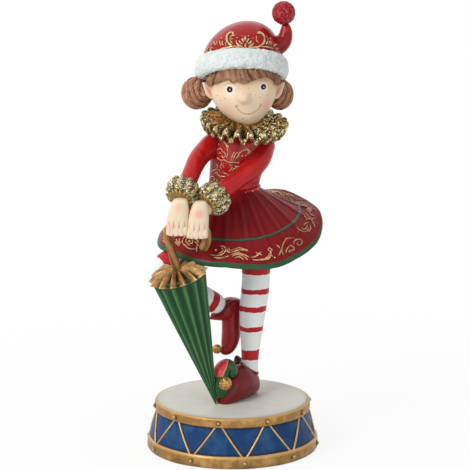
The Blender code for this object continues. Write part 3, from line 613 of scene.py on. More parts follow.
# The same wine enamel as the standing shoe, painted lighter here as painted light on this boot
wine_painted_lighter = paint(
    "wine_enamel_painted_lighter", "94201F", "420709", "A83034", rough=0.28, coat=0.3, patch=6.0, grain=1.6, relief=0.03,
    dapple=0.5,
)
piece("hanging_boot", bm, wine_painted_lighter)
bm = bmesh.new()
limb(
    bm,
    [
        (0.8, 11.4, 66.4, 3.3), (-1.6, 10.2, 65.6, 4.6), (-4.2, 9.0, 63.8, 4.85), (-8.0, 7.8, 62.1, 2.8),
        (-11.0, 7.0, 60.4, 0.8),
    ],
    40, 36,
)
piece("hanging_boot_turned_top", bm, wine_painted_lighter)
bm = bmesh.new()
edge = [
    (4.0, 11.0, 68.8, 0.55), (0.5, 7.6, 69.2, 0.6), (-2.4, 5.4, 67.8, 0.62), (-4.6, 4.2, 64.6, 0.62),
    (-7.2, 4.6, 62.2, 0.5), (-10.9, 6.2, 60.6, 0.35),
]
limb(bm, edge, 12, 50)
piece("hanging_boot_top_edge", bm, wine)

# ---------------------------------------------------------------- the bodice
# The close-fitting top of her dress: a small waist, rounded chest and a shallow seam down the front.
# Crimson enamel, satin, a little darker than the sleeves, with plum painted shade in the seams and at the sides,
# deepest towards the waist.

WAIST, NECK = Vector((0.4, 2.0, 125.8)), Vector((5.4, -1.5, 153.3))
BODICE_HEIGHT, BODICE_ROWS = 27.5, 70
# Bearings from the front seam to the side and back seams
SEAMS = (-0.95, 0.95, 2.2, -2.2)
# Share of the way from waist to neck, half width, half depth
BODICE = [
    (-0.35, 12.4, 10.2), (0.0, 11.9, 9.8), (0.30, 12.6, 10.4), (0.62, 13.6, 10.5), (0.80, 12.6, 9.8),
    (0.90, 10.0, 7.8), (1.0, 6.4, 6.2), (1.30, 6.2, 6.2),
]

crimson = paint(
    "crimson_bodice", "AE181E", "5E0F1A", "D0484C", rough=0.32, coat=0.4, patch=4.0, grain=1.0, relief=0.04,
    dapple=0.7,
)
bodice_rings, _ = smoothed([(0, 0, s * BODICE_HEIGHT, w, d) for s, w, d in BODICE], BODICE_ROWS)
bm = bmesh.new()


def bodice(turn, share):
    _, _, up, wide, deep_half = bodice_rings[round(share * BODICE_ROWS)]
    centre = WAIST.lerp(NECK, up / BODICE_HEIGHT)
    off_front = turn + math.pi / 2 + 0.10
    front = hump(math.remainder(off_front, math.tau), 0.05)
    panel = sum(hump(math.remainder(off_front - seam, math.tau), 0.04) for seam in SEAMS)
    ribs = 0.004 * math.sin(up * 2.4) * max(0.0, 1 - abs(up - 1) / 5)
    scale = 1 - 0.022 * front - 0.014 * panel + ribs
    spot = centre + Vector((wide * math.cos(turn) * scale, deep_half * math.sin(turn) * scale, 0))
    # painted shade along the seams and at the sides, deepest towards the waist
    flank = max(0.0, abs(math.cos(turn)) - 0.75) * 2.2 * max(0.0, 1 - up / 22)
    return spot, min(0.9, 0.55 * front + 0.4 * panel + flank)


wrap(bm, 120, BODICE_ROWS, bodice)
bodice_piece = piece("bodice", bm, crimson)


def at_belt(turn, half_width, half_depth, height):
    """A point of the oval round the waist, which tips with the belt."""
    tip = 1.2 * math.cos(turn) + 1.1 * math.sin(turn)
    return Vector((0.15 + half_width * math.cos(turn), 1.9 + half_depth * math.sin(turn), height + tip))


# The belt where bodice meets skirt
bm = bmesh.new()
belt = [(*at_belt(math.tau * i / 48, 12.35, 10.2, 124.6), 1.05) for i in range(49)]
limb(bm, belt, 16, 160, flatten=0.75, side=Vector((0, 0, 1)), blunt=(0.01, 0.01))
piece("belt", bm, crimson)

# ---------------------------------------------------------------- the skirt
# A stiff bell of a skirt that tips forward, dips at her left front and lifts behind: broad facets between fine ridges.
# Burgundy enamel, satin, with painted highlight on the ridges and painted shade beside them, a green edge, and
# near-black wine underneath as painted shade.

TILT_ACROSS, TILT_ALONG = math.tan(math.radians(7)), math.tan(math.radians(18))
SKIRT_WAIST, SKIRT_SPREAD = (11.9, 9.8), (27.1, 24.4)
SKIRT_DROP, SKIRT_SWAY = 20.5, 3.3
SKIRT_DRIFT = Vector((3.1, 2.5, 0))
HEM_DROP = 2.0
# The ridges' bearings round the skirt in degrees; -90 is the front and 0 her left side
RIDGES = [-168, -150, -134, -118, -100, -82, -67, -49, -31, -9, 12, 34, 56, 77, 99, 121, 142, 166]


def bell(turn, share, lower=0.0, faceted=1.0):
    """A point of the skirt's outside: share 0 is the waist and 1 the hem."""
    across, along = SKIRT_WAIST[0] + SKIRT_SPREAD[0] * share, SKIRT_WAIST[1] + SKIRT_SPREAD[1] * share
    x, y = across * math.cos(turn), along * math.sin(turn)
    tilt = x * TILT_ACROSS + y * TILT_ALONG + SKIRT_SWAY * share**2 * math.sin(2 * turn)
    bearing = math.degrees(math.remainder(turn, math.tau))
    gaps = sorted(math.remainder(bearing - ridge, 360) for ridge in RIDGES)
    after = min((g for g in gaps if g >= 0), default=20.0)
    before = -max((g for g in gaps if g < 0), default=-20.0)
    facet = min(1.0, 1.25 * math.sin(math.pi * after / (after + before)))
    grow = min(1.0, max(0.0, share) / 0.35)
    near = min(after, before) / 57.3 * (across + along) / 2
    ridge = hump(near, 0.75)
    # the ridges run out before the hem, which only waves a little
    grow *= 1 - 0.72 * min(1.0, max(0.0, (share - 0.80) / 0.18))
    down = max(0.0, share)
    slump = 2.3 * hump(bearing - 34, 32) * down**1.5
    lift = faceted * grow * (0.28 * ridge + 0.12 - 0.46 * facet) - slump + 0.45 * math.sin(7 * turn + 0.6) * down**6
    point = WAIST + SKIRT_DRIFT * share + Vector((x, y, tilt * down - SKIRT_DROP * share - lower + lift))
    # painted shade just beside each ridge, and painted highlight on the ridge itself
    return point, grow * (0.40 * hump(near - 1.5, 0.8) - 0.55 * ridge)


burgundy = paint(
    "burgundy_skirt_enamel", "7E171B", "46080C", "8E3038", rough=0.32, coat=0.10, patch=8.0, grain=2.0, relief=0.03,
    dapple=0.3,
)
burgundy["shader"].inputs["Specular IOR Level"].default_value = 0.05
# The run attribute is the share of the way down outside, a little over 1 on the edge and 2 underneath
run = add(burgundy["tree"], "ShaderNodeAttribute", attribute_name="run").outputs["Fac"]
over(burgundy, ramp(burgundy["tree"], run, 0.68, 0.74, 0.55), "7C1B1E")
# near-black wine underneath, as painted shade
over(burgundy, band(burgundy, run, 1.2, 3.0), "2B090D")
over(burgundy, band(burgundy, run, 0.985, 1.2), mixed(burgundy["tree"], burgundy["broad"], "1C3A20", "40684A"))
bm = bmesh.new()
SKIRT_ROWS, OUTER_ROWS, HEM_ROWS = 96, 66, 8


def skirt(turn, row):
    """Rows of the skirt: down the outside, round the edge, and back up underneath to close it."""
    if row <= OUTER_ROWS:
        return bell(turn, -0.05 + 1.05 * row / OUTER_ROWS)
    if row <= OUTER_ROWS + HEM_ROWS:
        t = (row - OUTER_ROWS) / HEM_ROWS
        return bell(turn, 1.0 + 0.012 * math.sin(math.pi * t), HEM_DROP * t)[0], 0.2
    t = (row - OUTER_ROWS - HEM_ROWS) / (SKIRT_ROWS - OUTER_ROWS - HEM_ROWS)
    point = bell(turn, 0.985 - 0.885 * t, HEM_DROP * (1 - t) + 0.8 * math.sin(math.pi * min(1, t * 1.2)))[0]
    flat = bell(turn, 0.985, HEM_DROP - 5.0)[0].z
    point.z += (flat - 2.0 * t - point.z) * min(1.0, t * 1.05) * 0.75
    # the edge is painted a little into shade, and the underside more
    return point, 0.6


deep = bm.verts.layers.float.new("hollow")
runs = bm.verts.layers.float.new("run")
made = bmesh.ops.create_grid(bm, x_segments=360, y_segments=SKIRT_ROWS, size=0.5)["verts"]
for vertex in made:
    row = round((vertex.co.y + 0.5) * SKIRT_ROWS)
    vertex.co, vertex[deep] = skirt((vertex.co.x + 0.5) * math.tau, row)
    if row <= OUTER_ROWS:
        vertex[runs] = -0.05 + 1.05 * row / OUTER_ROWS
    else:
        vertex[runs] = 1.03 if row <= OUTER_ROWS + HEM_ROWS - 2 else 2.0
bmesh.ops.remove_doubles(bm, verts=made, dist=1e-4)
piece("skirt", bm, burgundy)

# The narrow stripe above the hem: dark green, slightly raised, with painted shade on its sides and painted highlight on
# its crest
STRIPE_WIDTH, STRIPE_RISE = 1.45, 0.22
# How many millimetres of facet relief would move the stripe by the whole length of the skirt
STRIPE_EASE = 54
binding = paint(
    "green_binding", "22442A", "10301A", "466A4C", rough=0.35, coat=0.45, patch=4.0, grain=0.9, relief=0.05,
    dapple=0.75,
)


def stripe_share(turn):
    """How far down the skirt the stripe runs; it rides a little higher at her left side."""
    share = 0.715 - 0.06 * max(0.0, math.cos(turn + 0.09)) ** 2
    # the facets would scallop it, so it is laid a little higher where the surface is low
    return share + (bell(turn, share)[0].z - bell(turn, share, faceted=0.0)[0].z) / STRIPE_EASE


def trace(bm, line, lay, width, rise):
    """Lays a rounded stroke of thick paint, thin at both ends. line holds x, y and a share of the width, and
    lay(x, y) gives a point and its normal."""
    spots = [lay(x, y) for x, y, _ in line]
    rows = len(line) - 1
    if rows < 2 or any(spot is None for spot in spots):
        return

    def place(turn, share):
        i = round(share * rows)
        point, normal = spots[i]
        ahead = spots[min(i + 1, rows)][0] - spots[max(i - 1, 0)][0]
        half, lift = width * line[i][2] / 2, rise * math.sin(turn)
        if i in (0, rows):
            half, lift = half * 0.12, 0.0
        spot = point + ahead.cross(normal).normalized() * half * math.cos(turn) + normal * lift
        # painted shade on the sides of the stroke and painted highlight along its crest
        return spot, 1.3 - 2.15 * max(0.0, math.sin(turn)) ** 3

    wrap(bm, 10, rows, place)


def on_skirt(turn, share):
    """A point of the skirt and the way out from it."""
    here = bell(turn, share)[0]
    normal = (bell(turn + 0.02, share)[0] - here).cross(bell(turn, share + 0.02)[0] - here).normalized()
    return here, normal if normal.z > 0 else -normal


bm = bmesh.new()
turns = [math.tau * i / 360 for i in range(361)]
trace(bm, [(turn, stripe_share(turn), 1.0) for turn in turns], on_skirt, STRIPE_WIDTH, STRIPE_RISE)
piece("skirt_stripe", bm, binding)

# ---------------------------------------------------------------- the gilt scrollwork of the skirt
# Scrolls, leaves and dots trail round the skirt between stripe and hem: raised lines of the casting.
# Touched with gold, with painted highlight on the crests and painted shade on their sides, leaving the red between
# them.

SCROLL_WIDTH, SCROLL_RISE = 1.02, 0.36


def rubbed_gold(name, colour, light, bare):
    """Gold brushed over raised lines, with painted highlight on the crests and painted shade on the sides, and thin in
    places so that the ground shows.
    """
    coat = paint(
        name, colour, "4A1410", light, rough=0.3, coat=0.3, patch=1.6, grain=0.5, relief=0.02, metal=0.4, dapple=0.95,
    )
    worn = add(coat["tree"], "ShaderNodeTexNoise", {"Vector": coat["mm"], "Scale": 0.42, "Detail": 3}).outputs[0]
    over(coat, ramp(coat["tree"], worn, 0.50, 0.66, bare), "8A3428")
    return coat


scroll_gold = rubbed_gold("rubbed_gold_on_burgundy", "A06A3C", "F0CFA0", 0.85)
# Towards her left side the gold is painted duller and redder, as painted shade on the side away from the key light
over(scroll_gold, ramp(scroll_gold["tree"], coordinate(scroll_gold, 0), 14.0, 30.0, 0.45), "7A4030")


def brushed(points, full=1.0, steps=20):
    """A smooth stroke through a few points, full in the middle and thin at both ends."""
    line, _ = smoothed([(x, y, 0) for x, y in points], steps)
    swell = [0.42 + 0.58 * math.sin(math.pi * (0.05 + 0.9 * i / steps)) ** 0.6 for i in range(steps + 1)]
    return [(x, y, full * part) for (x, y, _), part in zip(line, swell)]


def bead(bm, lay, x, y, radius, rise):
    """A round dot of paint."""
    spot = lay(x, y)
    if spot is None:
        return
    point, normal = spot
    aside = normal.orthogonal().normalized()
    ahead = normal.cross(aside)

    def place(turn, share):
        polar = math.pi * share
        flat = (aside * math.cos(turn) + ahead * math.sin(turn)) * radius * math.sin(polar)
        # painted highlight on the top of the dot and painted shade round its foot
        return point + flat + normal * rise * math.cos(polar), 1.1 - 2.0 * max(0.0, math.cos(polar)) ** 0.5

    wrap(bm, 10, 6, place)


# One run of the garland, from the right front round to her left side: bearing in degrees, and hundredths of the way down
VOLUTE = [
    [(-122, 86), (-125.5, 88.5), (-131.5, 89.5), (-137, 86.8), (-140, 82), (-139.5, 76.5), (-135, 73.5), (-130, 74)],
    [
        (-129.5, 85.6), (-133.5, 85), (-136, 82), (-136, 78), (-133, 76.4), (-129.6, 78.6), (-129.6, 82),
        (-131.5, 83.2), (-134, 81),
    ],
    [(-129, 75.5), (-126, 76), (-123.2, 79)], [(-128, 79.4), (-125, 80), (-122.5, 83.4)], [
        (-124.6, 80), (-123.8, 85), (-122.6, 91),
    ],
    [(-148, 84), (-144, 87), (-140, 88.6)], [(-147, 88), (-143, 90), (-139.5, 91)], [
        (-145, 81.5), (-142.5, 85), (-140, 86.5),
    ],
]
HOOK = [
    [(-112, 91.5), (-106, 91.8), (-102, 89.8), (-100, 85.6), (-101.6, 81), (-106, 79.4)], [
        (-105.4, 89.2), (-102.8, 87.4), (-102.2, 84.4), (-103.8, 82),
    ],
    [(-109, 94), (-104.5, 94.8), (-100, 93.4), (-97, 91)],
]
TUFT = [
    [(-97.8, 80.6), (-97, 84.6), (-93.5, 82.8), (-90, 80.8), (-86.5, 82.2), (-83, 84.6)],
    [(-96.4, 87), (-92.5, 84.8), (-89, 83.2), (-85.5, 84), (-82.8, 86)], [(-99.2, 83.6), (-98.4, 86.8), (-96.4, 87)],
    [(-95.5, 91.8), (-92.5, 89.4), (-89, 89.4), (-86, 92), (-84, 95.6)],
    [(-93.5, 93.4), (-90.5, 91.6), (-88, 93.4), (-86.8, 95.6)],
    [(-97, 91), (-93, 87.8), (-89, 87.8), (-85, 90.2), (-82.8, 93)],
]
CRESCENT = [
    [(-82, 92.4), (-79, 91.4), (-76.6, 89.6), (-75, 87.6)], [(-77.4, 86.4), (-76, 88.4), (-76.4, 90.4)], [
        (-73.2, 86.6), (-75, 88.4), (-73, 90),
    ],
    [(-81, 94.4), (-77, 96), (-72.5, 96), (-68.6, 94.4), (-66.4, 91), (-66, 87)], [
        (-77, 94.6), (-72, 94), (-69, 92.4), (-67, 89.6),
    ],
    [(-67.8, 86.6), (-66.2, 84.8), (-64.6, 86.6), (-66.2, 88.4), (-67.6, 87)], [(-69, 95), (-67, 92.2), (-65.4, 94)],
    [(-59.4, 82), (-58.2, 84.8), (-58, 87.2)], [(-57.2, 88), (-58.8, 91.2), (-61, 93.8)],
]
TWIN = [
    [(-57.4, 95.4), (-57, 90), (-54.6, 85.2), (-50.4, 81.6), (-45, 81), (-40.6, 83.6)],
    [(-54.8, 94), (-53, 91), (-49.4, 89.6), (-46.8, 92.2), (-48.2, 95.4), (-51.2, 95.8), (-52.2, 94), (-50.4, 92.6)],
    [
        (-45.4, 90.4), (-43.8, 86.6), (-39.4, 86.2), (-36.6, 89.6), (-38.2, 93), (-41.6, 93), (-42.2, 90.6),
        (-40.2, 89),
    ],
]
SPRIG = [
    [(-31, 74.4), (-32, 79), (-29, 83.4), (-24.5, 85.8), (-19.5, 85)],
    [(-27, 77.6), (-26, 81.4), (-21.5, 83), (-17.6, 81)], [(-22, 78.4), (-17.8, 78.6), (-13.8, 81.6)],
    [(-24, 88), (-19, 87.6), (-15, 84.6)],
    [(-8.5, 72), (-10.6, 76.6), (-9.4, 82), (-5.6, 87)], [(-1, 75.4), (-5, 79.2), (-5.4, 84.6), (-1.6, 89.8)],
    [(4.6, 80.4), (0.6, 84), (1.2, 90)], [(-9, 84), (-11, 89), (-14, 92.4)],
]
BERRIES = [
    (-132.2, 80.8, 0.7), (-107.8, 85, 0.62), (-75, 88.4, 0.45), (-64.4, 95.6, 0.5), (-90, 86, 0.35), (-34, 80, 0.4),
    (-118, 84, 0.4), (-12.6, 78, 0.4),
]
bm = bmesh.new()
GARLAND = VOLUTE + HOOK + TUFT + CRESCENT + TWIN + SPRIG
# The run is laid twice round the skirt, and its start once more to close the gap
for shift, strokes in ((0, GARLAND), (152, GARLAND), (304, VOLUTE + HOOK)):

    def band_spot(bearing, down, shift=shift):
        here, there = math.radians(bearing), math.radians(bearing + shift)
        return on_skirt(there, min(0.94, down / 100 - stripe_share(here) + stripe_share(there) - 0.008))

    for points in strokes:
        trace(bm, brushed(points, 1.0, 10 + 4 * len(points)), band_spot, SCROLL_WIDTH, SCROLL_RISE)
    for x, y, radius in BERRIES if shift < 300 else BERRIES[:2]:
        bead(bm, band_spot, x, y, radius, 0.45)
piece("skirt_scrollwork", bm, scroll_gold)

# ---------------------------------------------------------------- the gilt scrollwork of the bodice
# Two sprays of scrolls meet at the front seam, with a narrow lattice below them towards the waist.
# The same raised gold lines, finer than those of the skirt.


def facing(target, back=False):
    """Drops a point in x and z onto a piece, from the front or the back, and gives it with its normal, in millimetres."""
    tree = BVHTree.FromPolygons(
        [v.co * 1000 for v in target.data.vertices], [tuple(p.vertices) for p in target.data.polygons],
    )
    way = Vector((0, -1 if back else 1, 0))

    def lay(x, z):
        hit, normal, _, _ = tree.ray_cast(Vector((x, 0, z)) - way * 90, way)
        if hit is None:
            return None
        return hit, normal if normal.dot(way) < 0 else -normal

    return lay


BODICE_STROKE, BODICE_RISE = 0.74, 0.28

bm = bmesh.new()
# Points in x and z; her right panel carries a tall volute, her left one leaves that fan out of the seam and a long hook
SPRAYS = [
    (
        [
            (-7.3, 144.2), (-8.1, 145.4), (-8.3, 146.9), (-7.7, 148.2), (-6.0, 149.0), (-4.2, 148.6), (-2.9, 147.2),
            (-2.2, 145.2), (-2.2, 142.9), (-2.9, 140.9),
        ],
        1.5,
    ),
    ([(-8.2, 145.6), (-7.6, 146.4), (-7.0, 146.6)], 1.6), (
        [(-7.1, 142.6), (-7.0, 144.2), (-5.8, 145.1), (-4.8, 144.7), (-4.9, 143.8)], 1.2,
    ),
    ([(-4.9, 143.9), (-3.7, 143.6), (-3.2, 142.4), (-3.8, 141.2), (-4.8, 141.4), (-4.6, 142.3)], 1.2), (
        [(-6.8, 140.9), (-6.1, 140.1), (-4.9, 139.8), (-3.6, 140.3)], 1.1,
    ),
    ([(-6.4, 142.5), (-5.8, 143.2), (-5.1, 142.8)], 1.0), ([(-2.4, 147.2), (-1.8, 146.4), (-1.3, 145.8)], 1.0),
    ([(-0.6, 139.4), (-0.3, 140.9), (0.1, 142.5), (1.0, 144.1)], 1.0),
    ([(0.2, 139.3), (0.6, 140.9), (1.4, 142.8), (2.8, 144.1)], 1.1),
    ([(1.0, 139.2), (1.5, 140.5), (2.3, 141.6), (3.4, 142.2)], 1.0),
    ([(2.4, 141.6), (3.3, 143.4), (4.8, 144.7), (6.4, 145.1), (7.7, 144.8), (8.3, 143.8), (7.7, 142.8)], 1.2),
    ([(4.4, 145.7), (5.9, 146.0), (7.4, 145.6)], 0.9), ([(7.2, 144.4), (7.5, 143.8), (6.9, 142.9)], 1.5),
    ([(-4.2, 140.3), (-2.1, 139.3), (0.0, 138.9), (2.5, 138.9)], 0.9),
    ([(-0.4, 137.7), (-0.1, 136.7), (-0.7, 135.5), (-1.6, 134.6)], 1.3),
    ([(4.2, 137.6), (2.4, 137.0), (0.8, 136.0), (-0.5, 134.7)], 1.1),
    ([(-1.2, 138.2), (-0.9, 137.3), (-1.3, 136.2)], 0.8),
    ([(-7.5, 134.8), (-7.2, 133.5), (-6.2, 132.4), (-4.6, 132.0), (-2.8, 132.2)], 1.1),
    ([(-9.9, 133.3), (-8.6, 134.6), (-7.1, 135.4), (-6.0, 135.0), (-5.8, 133.9)], 1.0),
    ([(-8.2, 132.9), (-7.3, 134.0), (-6.7, 133.4), (-7.2, 132.5)], 0.9),
    ([(-10.4, 130.2), (-9.6, 131.3), (-8.6, 131.4), (-8.2, 130.4), (-8.8, 129.6)], 0.9),
    ([(-7.8, 130.9), (-7.0, 129.8), (-6.4, 128.6)], 0.9), ([(-9.8, 128.6), (-9.2, 127.8), (-8.7, 127.2)], 0.8),
    ([(-8.2, 138.3), (-7.1, 137.5), (-6.7, 136.6), (-7.2, 135.8)], 0.9),
    ([(-5.3, 139.3), (-4.9, 138.0), (-5.4, 136.7), (-4.9, 135.7)], 0.9),
    ([(-4.0, 138.7), (-4.3, 137.5), (-3.8, 136.2)], 0.8),
    ([(-4.6, 134.6), (-3.4, 133.6), (-2.2, 133.8)], 0.9),
    ([(-4.9, 130.8), (-3.6, 129.8), (-2.4, 130.2), (-1.9, 131.4)], 0.9),
    ([(1.6, 134.0), (2.4, 132.6), (3.8, 132.2)], 0.9), ([(3.0, 135.0), (4.4, 134.2), (5.0, 132.8)], 0.9),
    ([(6.2, 140.2), (7.4, 139.0), (7.4, 137.4), (6.4, 136.8)], 0.9), (
        [(8.4, 137.6), (8.8, 136.0), (8.0, 134.8)], 0.8,
    ),
]
BODICE_DOTS = [
    (4.6, 142.1, 0.45), (2.8, 138.9, 0.55), (-1.8, 132.9, 0.5), (-6.8, 140.6, 0.5), (1.4, 137.3, 0.4),
    (6.4, 142.3, 0.45), (-1.4, 148.2, 0.45), (-6.2, 147.0, 0.45), (0.2, 139.1, 0.4),
]
for way in (False, True):
    lay = facing(bodice_piece, back=way)
    for points, full in SPRAYS:
        trace(bm, brushed(points, full, 8 + 3 * len(points)), lay, BODICE_STROKE, BODICE_RISE)
    for x, z, radius in BODICE_DOTS:
        bead(bm, lay, x, z, radius, 0.34)
# Pearls along the belt, and a second row below every other one
for i in range(20):
    a = math.tau * i / 20 - 1.1
    out = Vector((math.cos(a), math.sin(a), 0.2)).normalized()
    for drop in (0.0, 2.3) if i % 2 == 0 else (0.0,):
        spot = at_belt(a, 13.0 + drop * 0.6, 10.9 + drop * 0.6, 124.7 - drop)
        bead(bm, lambda x, y, spot=spot, out=out: (spot, out), 0, 0, 0.45, 0.42)
piece("bodice_scrollwork", bm, rubbed_gold("bright_gold_on_crimson", "BE8A58", "FFE2BC", 0.6))

# ---------------------------------------------------------------- the head
# A round, doll-like head, wider than tall at the cheeks, with a small button nose, a fine smile and pointed ears.
# Cream flesh paint, satin, sprayed pink on cheeks and ears; the eyes, brows, mouth and freckles are brushed on.

HEAD = Vector((5.2, -3.5, 173.6))
HEAD_HALF = Vector((15.7, 15.5, 16.8))
NOSE_AT, NOSE_RADIUS = (5.6, 169.9), 2.55
SMILE = [(1.8, 166.2), (2.6, 164.6), (4.6, 162.9), (7.4, 162.3), (10.2, 163.0), (12.2, 164.8), (13.2, 166.6)]
CHEEKS = ((-1.6, 165.9, 4.4), (14.9, 166.6, 4.4))

smile_line = [(p[0], p[1]) for p in smoothed([(x, z, 0) for x, z in SMILE], 60)[0]]


def skull(turn, polar):
    """A point of the plain head, before the features."""
    height = math.cos(polar)
    below = max(0.0, -height)
    reach = math.sin(polar) * (1 - 0.10 * below**1.5)
    # the chin stays forward instead of rounding under
    ahead = max(0.0, math.sin(polar)) ** (1 - 0.50 * below) if math.sin(turn) < 0 else reach
    x = HEAD_HALF.x * reach * math.cos(turn) + 1.9 * below**4
    y = HEAD_HALF.y * ahead * math.sin(turn) - 0.6 * (1 - height)
    return HEAD + Vector((x, y, HEAD_HALF.z * height - 0.9 * below**5))


def features(x, z):
    """How far the face stands out at x and z, and how deep it lies."""
    out = math.hypot(x - NOSE_AT[0], (z - NOSE_AT[1]) * 1.06)
    nose = 1.7 / (1 + (out / NOSE_RADIUS) ** 4) + 0.8 * max(0.0, 1 - (out / (NOSE_RADIUS * 1.1)) ** 2)
    # painted shade round the nose, strongest below it
    nose_shade = 0.16 * hump(out - NOSE_RADIUS * 1.25, 0.7) * (1 if z < NOSE_AT[1] else 0.25)
    full = sum(0.45 * hump(math.hypot(x - cx, z - cz), size) for cx, cz, size in CHEEKS)
    near = min(math.hypot(x - sx, z - sz) for sx, sz in smile_line) if 159 < z < 170 else 9.0
    groove = hump(near, 0.42)
    dimple = sum(hump(math.hypot(x - dx, z - dz), math.sqrt(0.5)) for dx, dz in (SMILE[0], SMILE[-1]))
    chin = 0.35 * hump(math.hypot(x - 6.4, z - 159.6), 3)
    # the smile groove and the dimples get painted shade too
    return nose + full + chin - 0.2 * groove - 0.2 * dimple, min(0.8, 0.30 * groove + 0.4 * dimple + nose_shade)


def spray(coat, centre, size, strength, colour, soft=None):
    """Sprays a round of colour that fades outwards over the last soft millimetres, or right from its middle."""
    far = add(coat["tree"], "ShaderNodeVectorMath", {0: coat["mm"], 1: centre}, operation="DISTANCE").outputs["Value"]
    mask = ramp(coat["tree"], far, size, size - (soft or size), strength, interpolation_type="SMOOTHSTEP")
    over(coat, mask, colour)


flesh = paint(
    "cream_flesh_paint", "E6CDB0", "BC8A66", "EEDCC4", rough=0.38, coat=0.2, patch=9.0, grain=1.4, relief=0.02,
    dapple=0.3,
)
flesh["shader"].inputs["Subsurface Weight"].default_value = 0.08
flesh["shader"].inputs["Subsurface Scale"].default_value = 0.002
# Pink on both cheeks, the nose and both ears; her right cheek, nearer the key light, gets less pink so that it is
# painted paler, as painted light
for centre, size, strength in (
    ((-2.4, -15.0, 165.4), 6.4, 0.34), ((16.0, -13.0, 166.4), 5.8, 0.60), ((6.0, -21.5, 169.0), 3.6, 0.10),
    ((-10.6, -7.0, 171.4), 3.0, 0.4), ((21.0, -7.0, 171.4), 3.0, 0.3),
):
    spray(flesh, centre, size, strength, "E58F82")
# The forehead is painted darker under the fringe, as the fringe's painted shadow, and a paler round is left about each
# eye
over(flesh, ramp(flesh["tree"], coordinate(flesh, 2), 172.0, 179.0, 0.78), "CDA27E")
for centre, size in (((-1.0, -18.0, 173.4), 4.6), ((14.4, -16.6, 174.4), 4.2)):
    spray(flesh, centre, size, 0.42, "F0E9DA", soft=2.6)

bm = bmesh.new()


def head(turn, share):
    spot = skull(turn, math.pi * share)
    front = -math.sin(turn) * math.sin(math.pi * share)
    if front <= 0.05:
        return spot, 0.0
    out, sunk = features(spot.x, spot.z)
    return spot + Vector((0, -out * min(1.0, front * 2), 0)), sunk


wrap(bm, 224, 144, head)
head_piece = piece("head", bm, flesh)
on_face = facing(head_piece)

# Pointed ears: a leaf with a rolled rim and a pink hollow
bm = bmesh.new()
for side in (-1, 1):
    root = HEAD + Vector((side * 13.6, -3.6, -1.8))
    joints = [
        (0.0, 0.0, -3.2, 0.9), (0.9, 0.3, -2.0, 1.9), (1.9, 0.5, -0.2, 2.4), (3.3, 0.8, 1.8, 1.7),
        (5.5, 1.4, 4.2, 0.35),
    ]

    def shell_of_ear(turn, share):
        inward = hump(math.remainder(turn + math.pi / 2, math.tau), 0.62)
        scoop = inward * math.sin(math.pi * min(1.0, share * 1.25)) ** 0.6 if share < 0.8 else 0.0
        return 1 - 0.62 * scoop, 0.75 * scoop

    limb(
        bm, [(root.x + side * x, root.y + y, root.z + z, r) for x, y, z, r in joints], 36, 36, section=shell_of_ear,
        flatten=0.62,
    )
piece("ears", bm, flesh)


DISC_COLUMNS = 28
# Rings of a disc: share of its radius, and share of its rise
DISC_RINGS = ((0.0, 1.0), (0.35, 0.97), (0.7, 0.75), (0.92, 0.35), (1.0, -0.5))


def disc(bm, lay, x, z, half_x, half_z, rise):
    """An oval patch of paint that follows the face."""
    bearings = [math.tau * k / DISC_COLUMNS for k in range(DISC_COLUMNS + 1)]
    spread = [
        [lay(x + half_x * out * math.cos(a), z + half_z * out * math.sin(a)) for a in bearings] for out, _ in DISC_RINGS
    ]

    def place(turn, share):
        ring = round(share * (len(DISC_RINGS) - 1))
        point, normal = spread[ring][round(turn / math.tau * DISC_COLUMNS)]
        return point + normal * rise * DISC_RINGS[ring][1], 0.0

    wrap(bm, DISC_COLUMNS, len(DISC_RINGS) - 1, place)


# Each eye: a pale oval, a black disc, and on it a small grey iris with its pupil and one catchlight
EYES = ((-1.2, 173.9, 1.0), (14.2, 174.9, 0.93))
for name, colour, rough, (dx, dz, half_x, half_z, rise) in (
    ("eye_whites", "E8DCCB", 0.35, (0.0, -0.3, 1.95, 2.1, 0.04)),
    ("eye_rings", "14100E", 0.2, (0.0, 0.0, 1.45, 1.52, 0.10)),
    ("eye_irises", "9A9A92", 0.25, (0.05, -0.02, 0.36, 0.40, 0.14)),
    ("eye_pupils", "0E0D0D", 0.2, (-0.12, 0.12, 0.18, 0.21, 0.17)),
    ("eye_catchlights", "FFFFFF", 0.3, (0.22, -0.20, 0.22, 0.24, 0.20)),
):
    bm = bmesh.new()
    for x, z, size in EYES:
        disc(bm, on_face, x + dx * size, z + dz * size, half_x * size, half_z * size, rise)
    piece(name, bm, paint(name + "_enamel", colour, colour, colour, rough=rough, coat=0.6, relief=0.0), fill=False)

# The brushed lines: the mouth and the brows in thin brown-pink, and the freckles in tan
LINE_WIDTH, LINE_RISE = 0.36, 0.03
bm = bmesh.new()
smile = [(x, z, 0.55 + 0.45 * math.sin(math.pi * i / 60)) for i, (x, z) in enumerate(smile_line)]
trace(bm, smile, on_face, LINE_WIDTH, LINE_RISE)
trace(bm, brushed([(1.4, 165.4), (1.9, 166.3), (2.8, 166.8)], 1.0, 10), on_face, LINE_WIDTH, LINE_RISE)
piece("mouth", bm, paint("rose_brown_mouth_line", "BE866A", "B07A5E", "C69274", rough=0.45, coat=0.1, relief=0.0))
bm = bmesh.new()
for brow in ([(-4.0, 175.6), (-2.3, 176.5), (0.1, 176.7)], [(12.3, 177.8), (14.4, 178.0), (16.3, 177.3)]):
    trace(bm, brushed(brow, 0.7, 12), on_face, LINE_WIDTH, LINE_RISE)
FRECKLES = [
    (4.9, 172.2), (7.3, 174.6), (8.2, 171.9), (10.4, 171.4), (15.9, 170.9), (-6.9, 170.6), (3.0, 169.2),
    (12.6, 170.2), (-3.6, 169.6), (4.8, 160.3), (17.0, 172.6), (-5.4, 168.4), (9.2, 176.0),
]
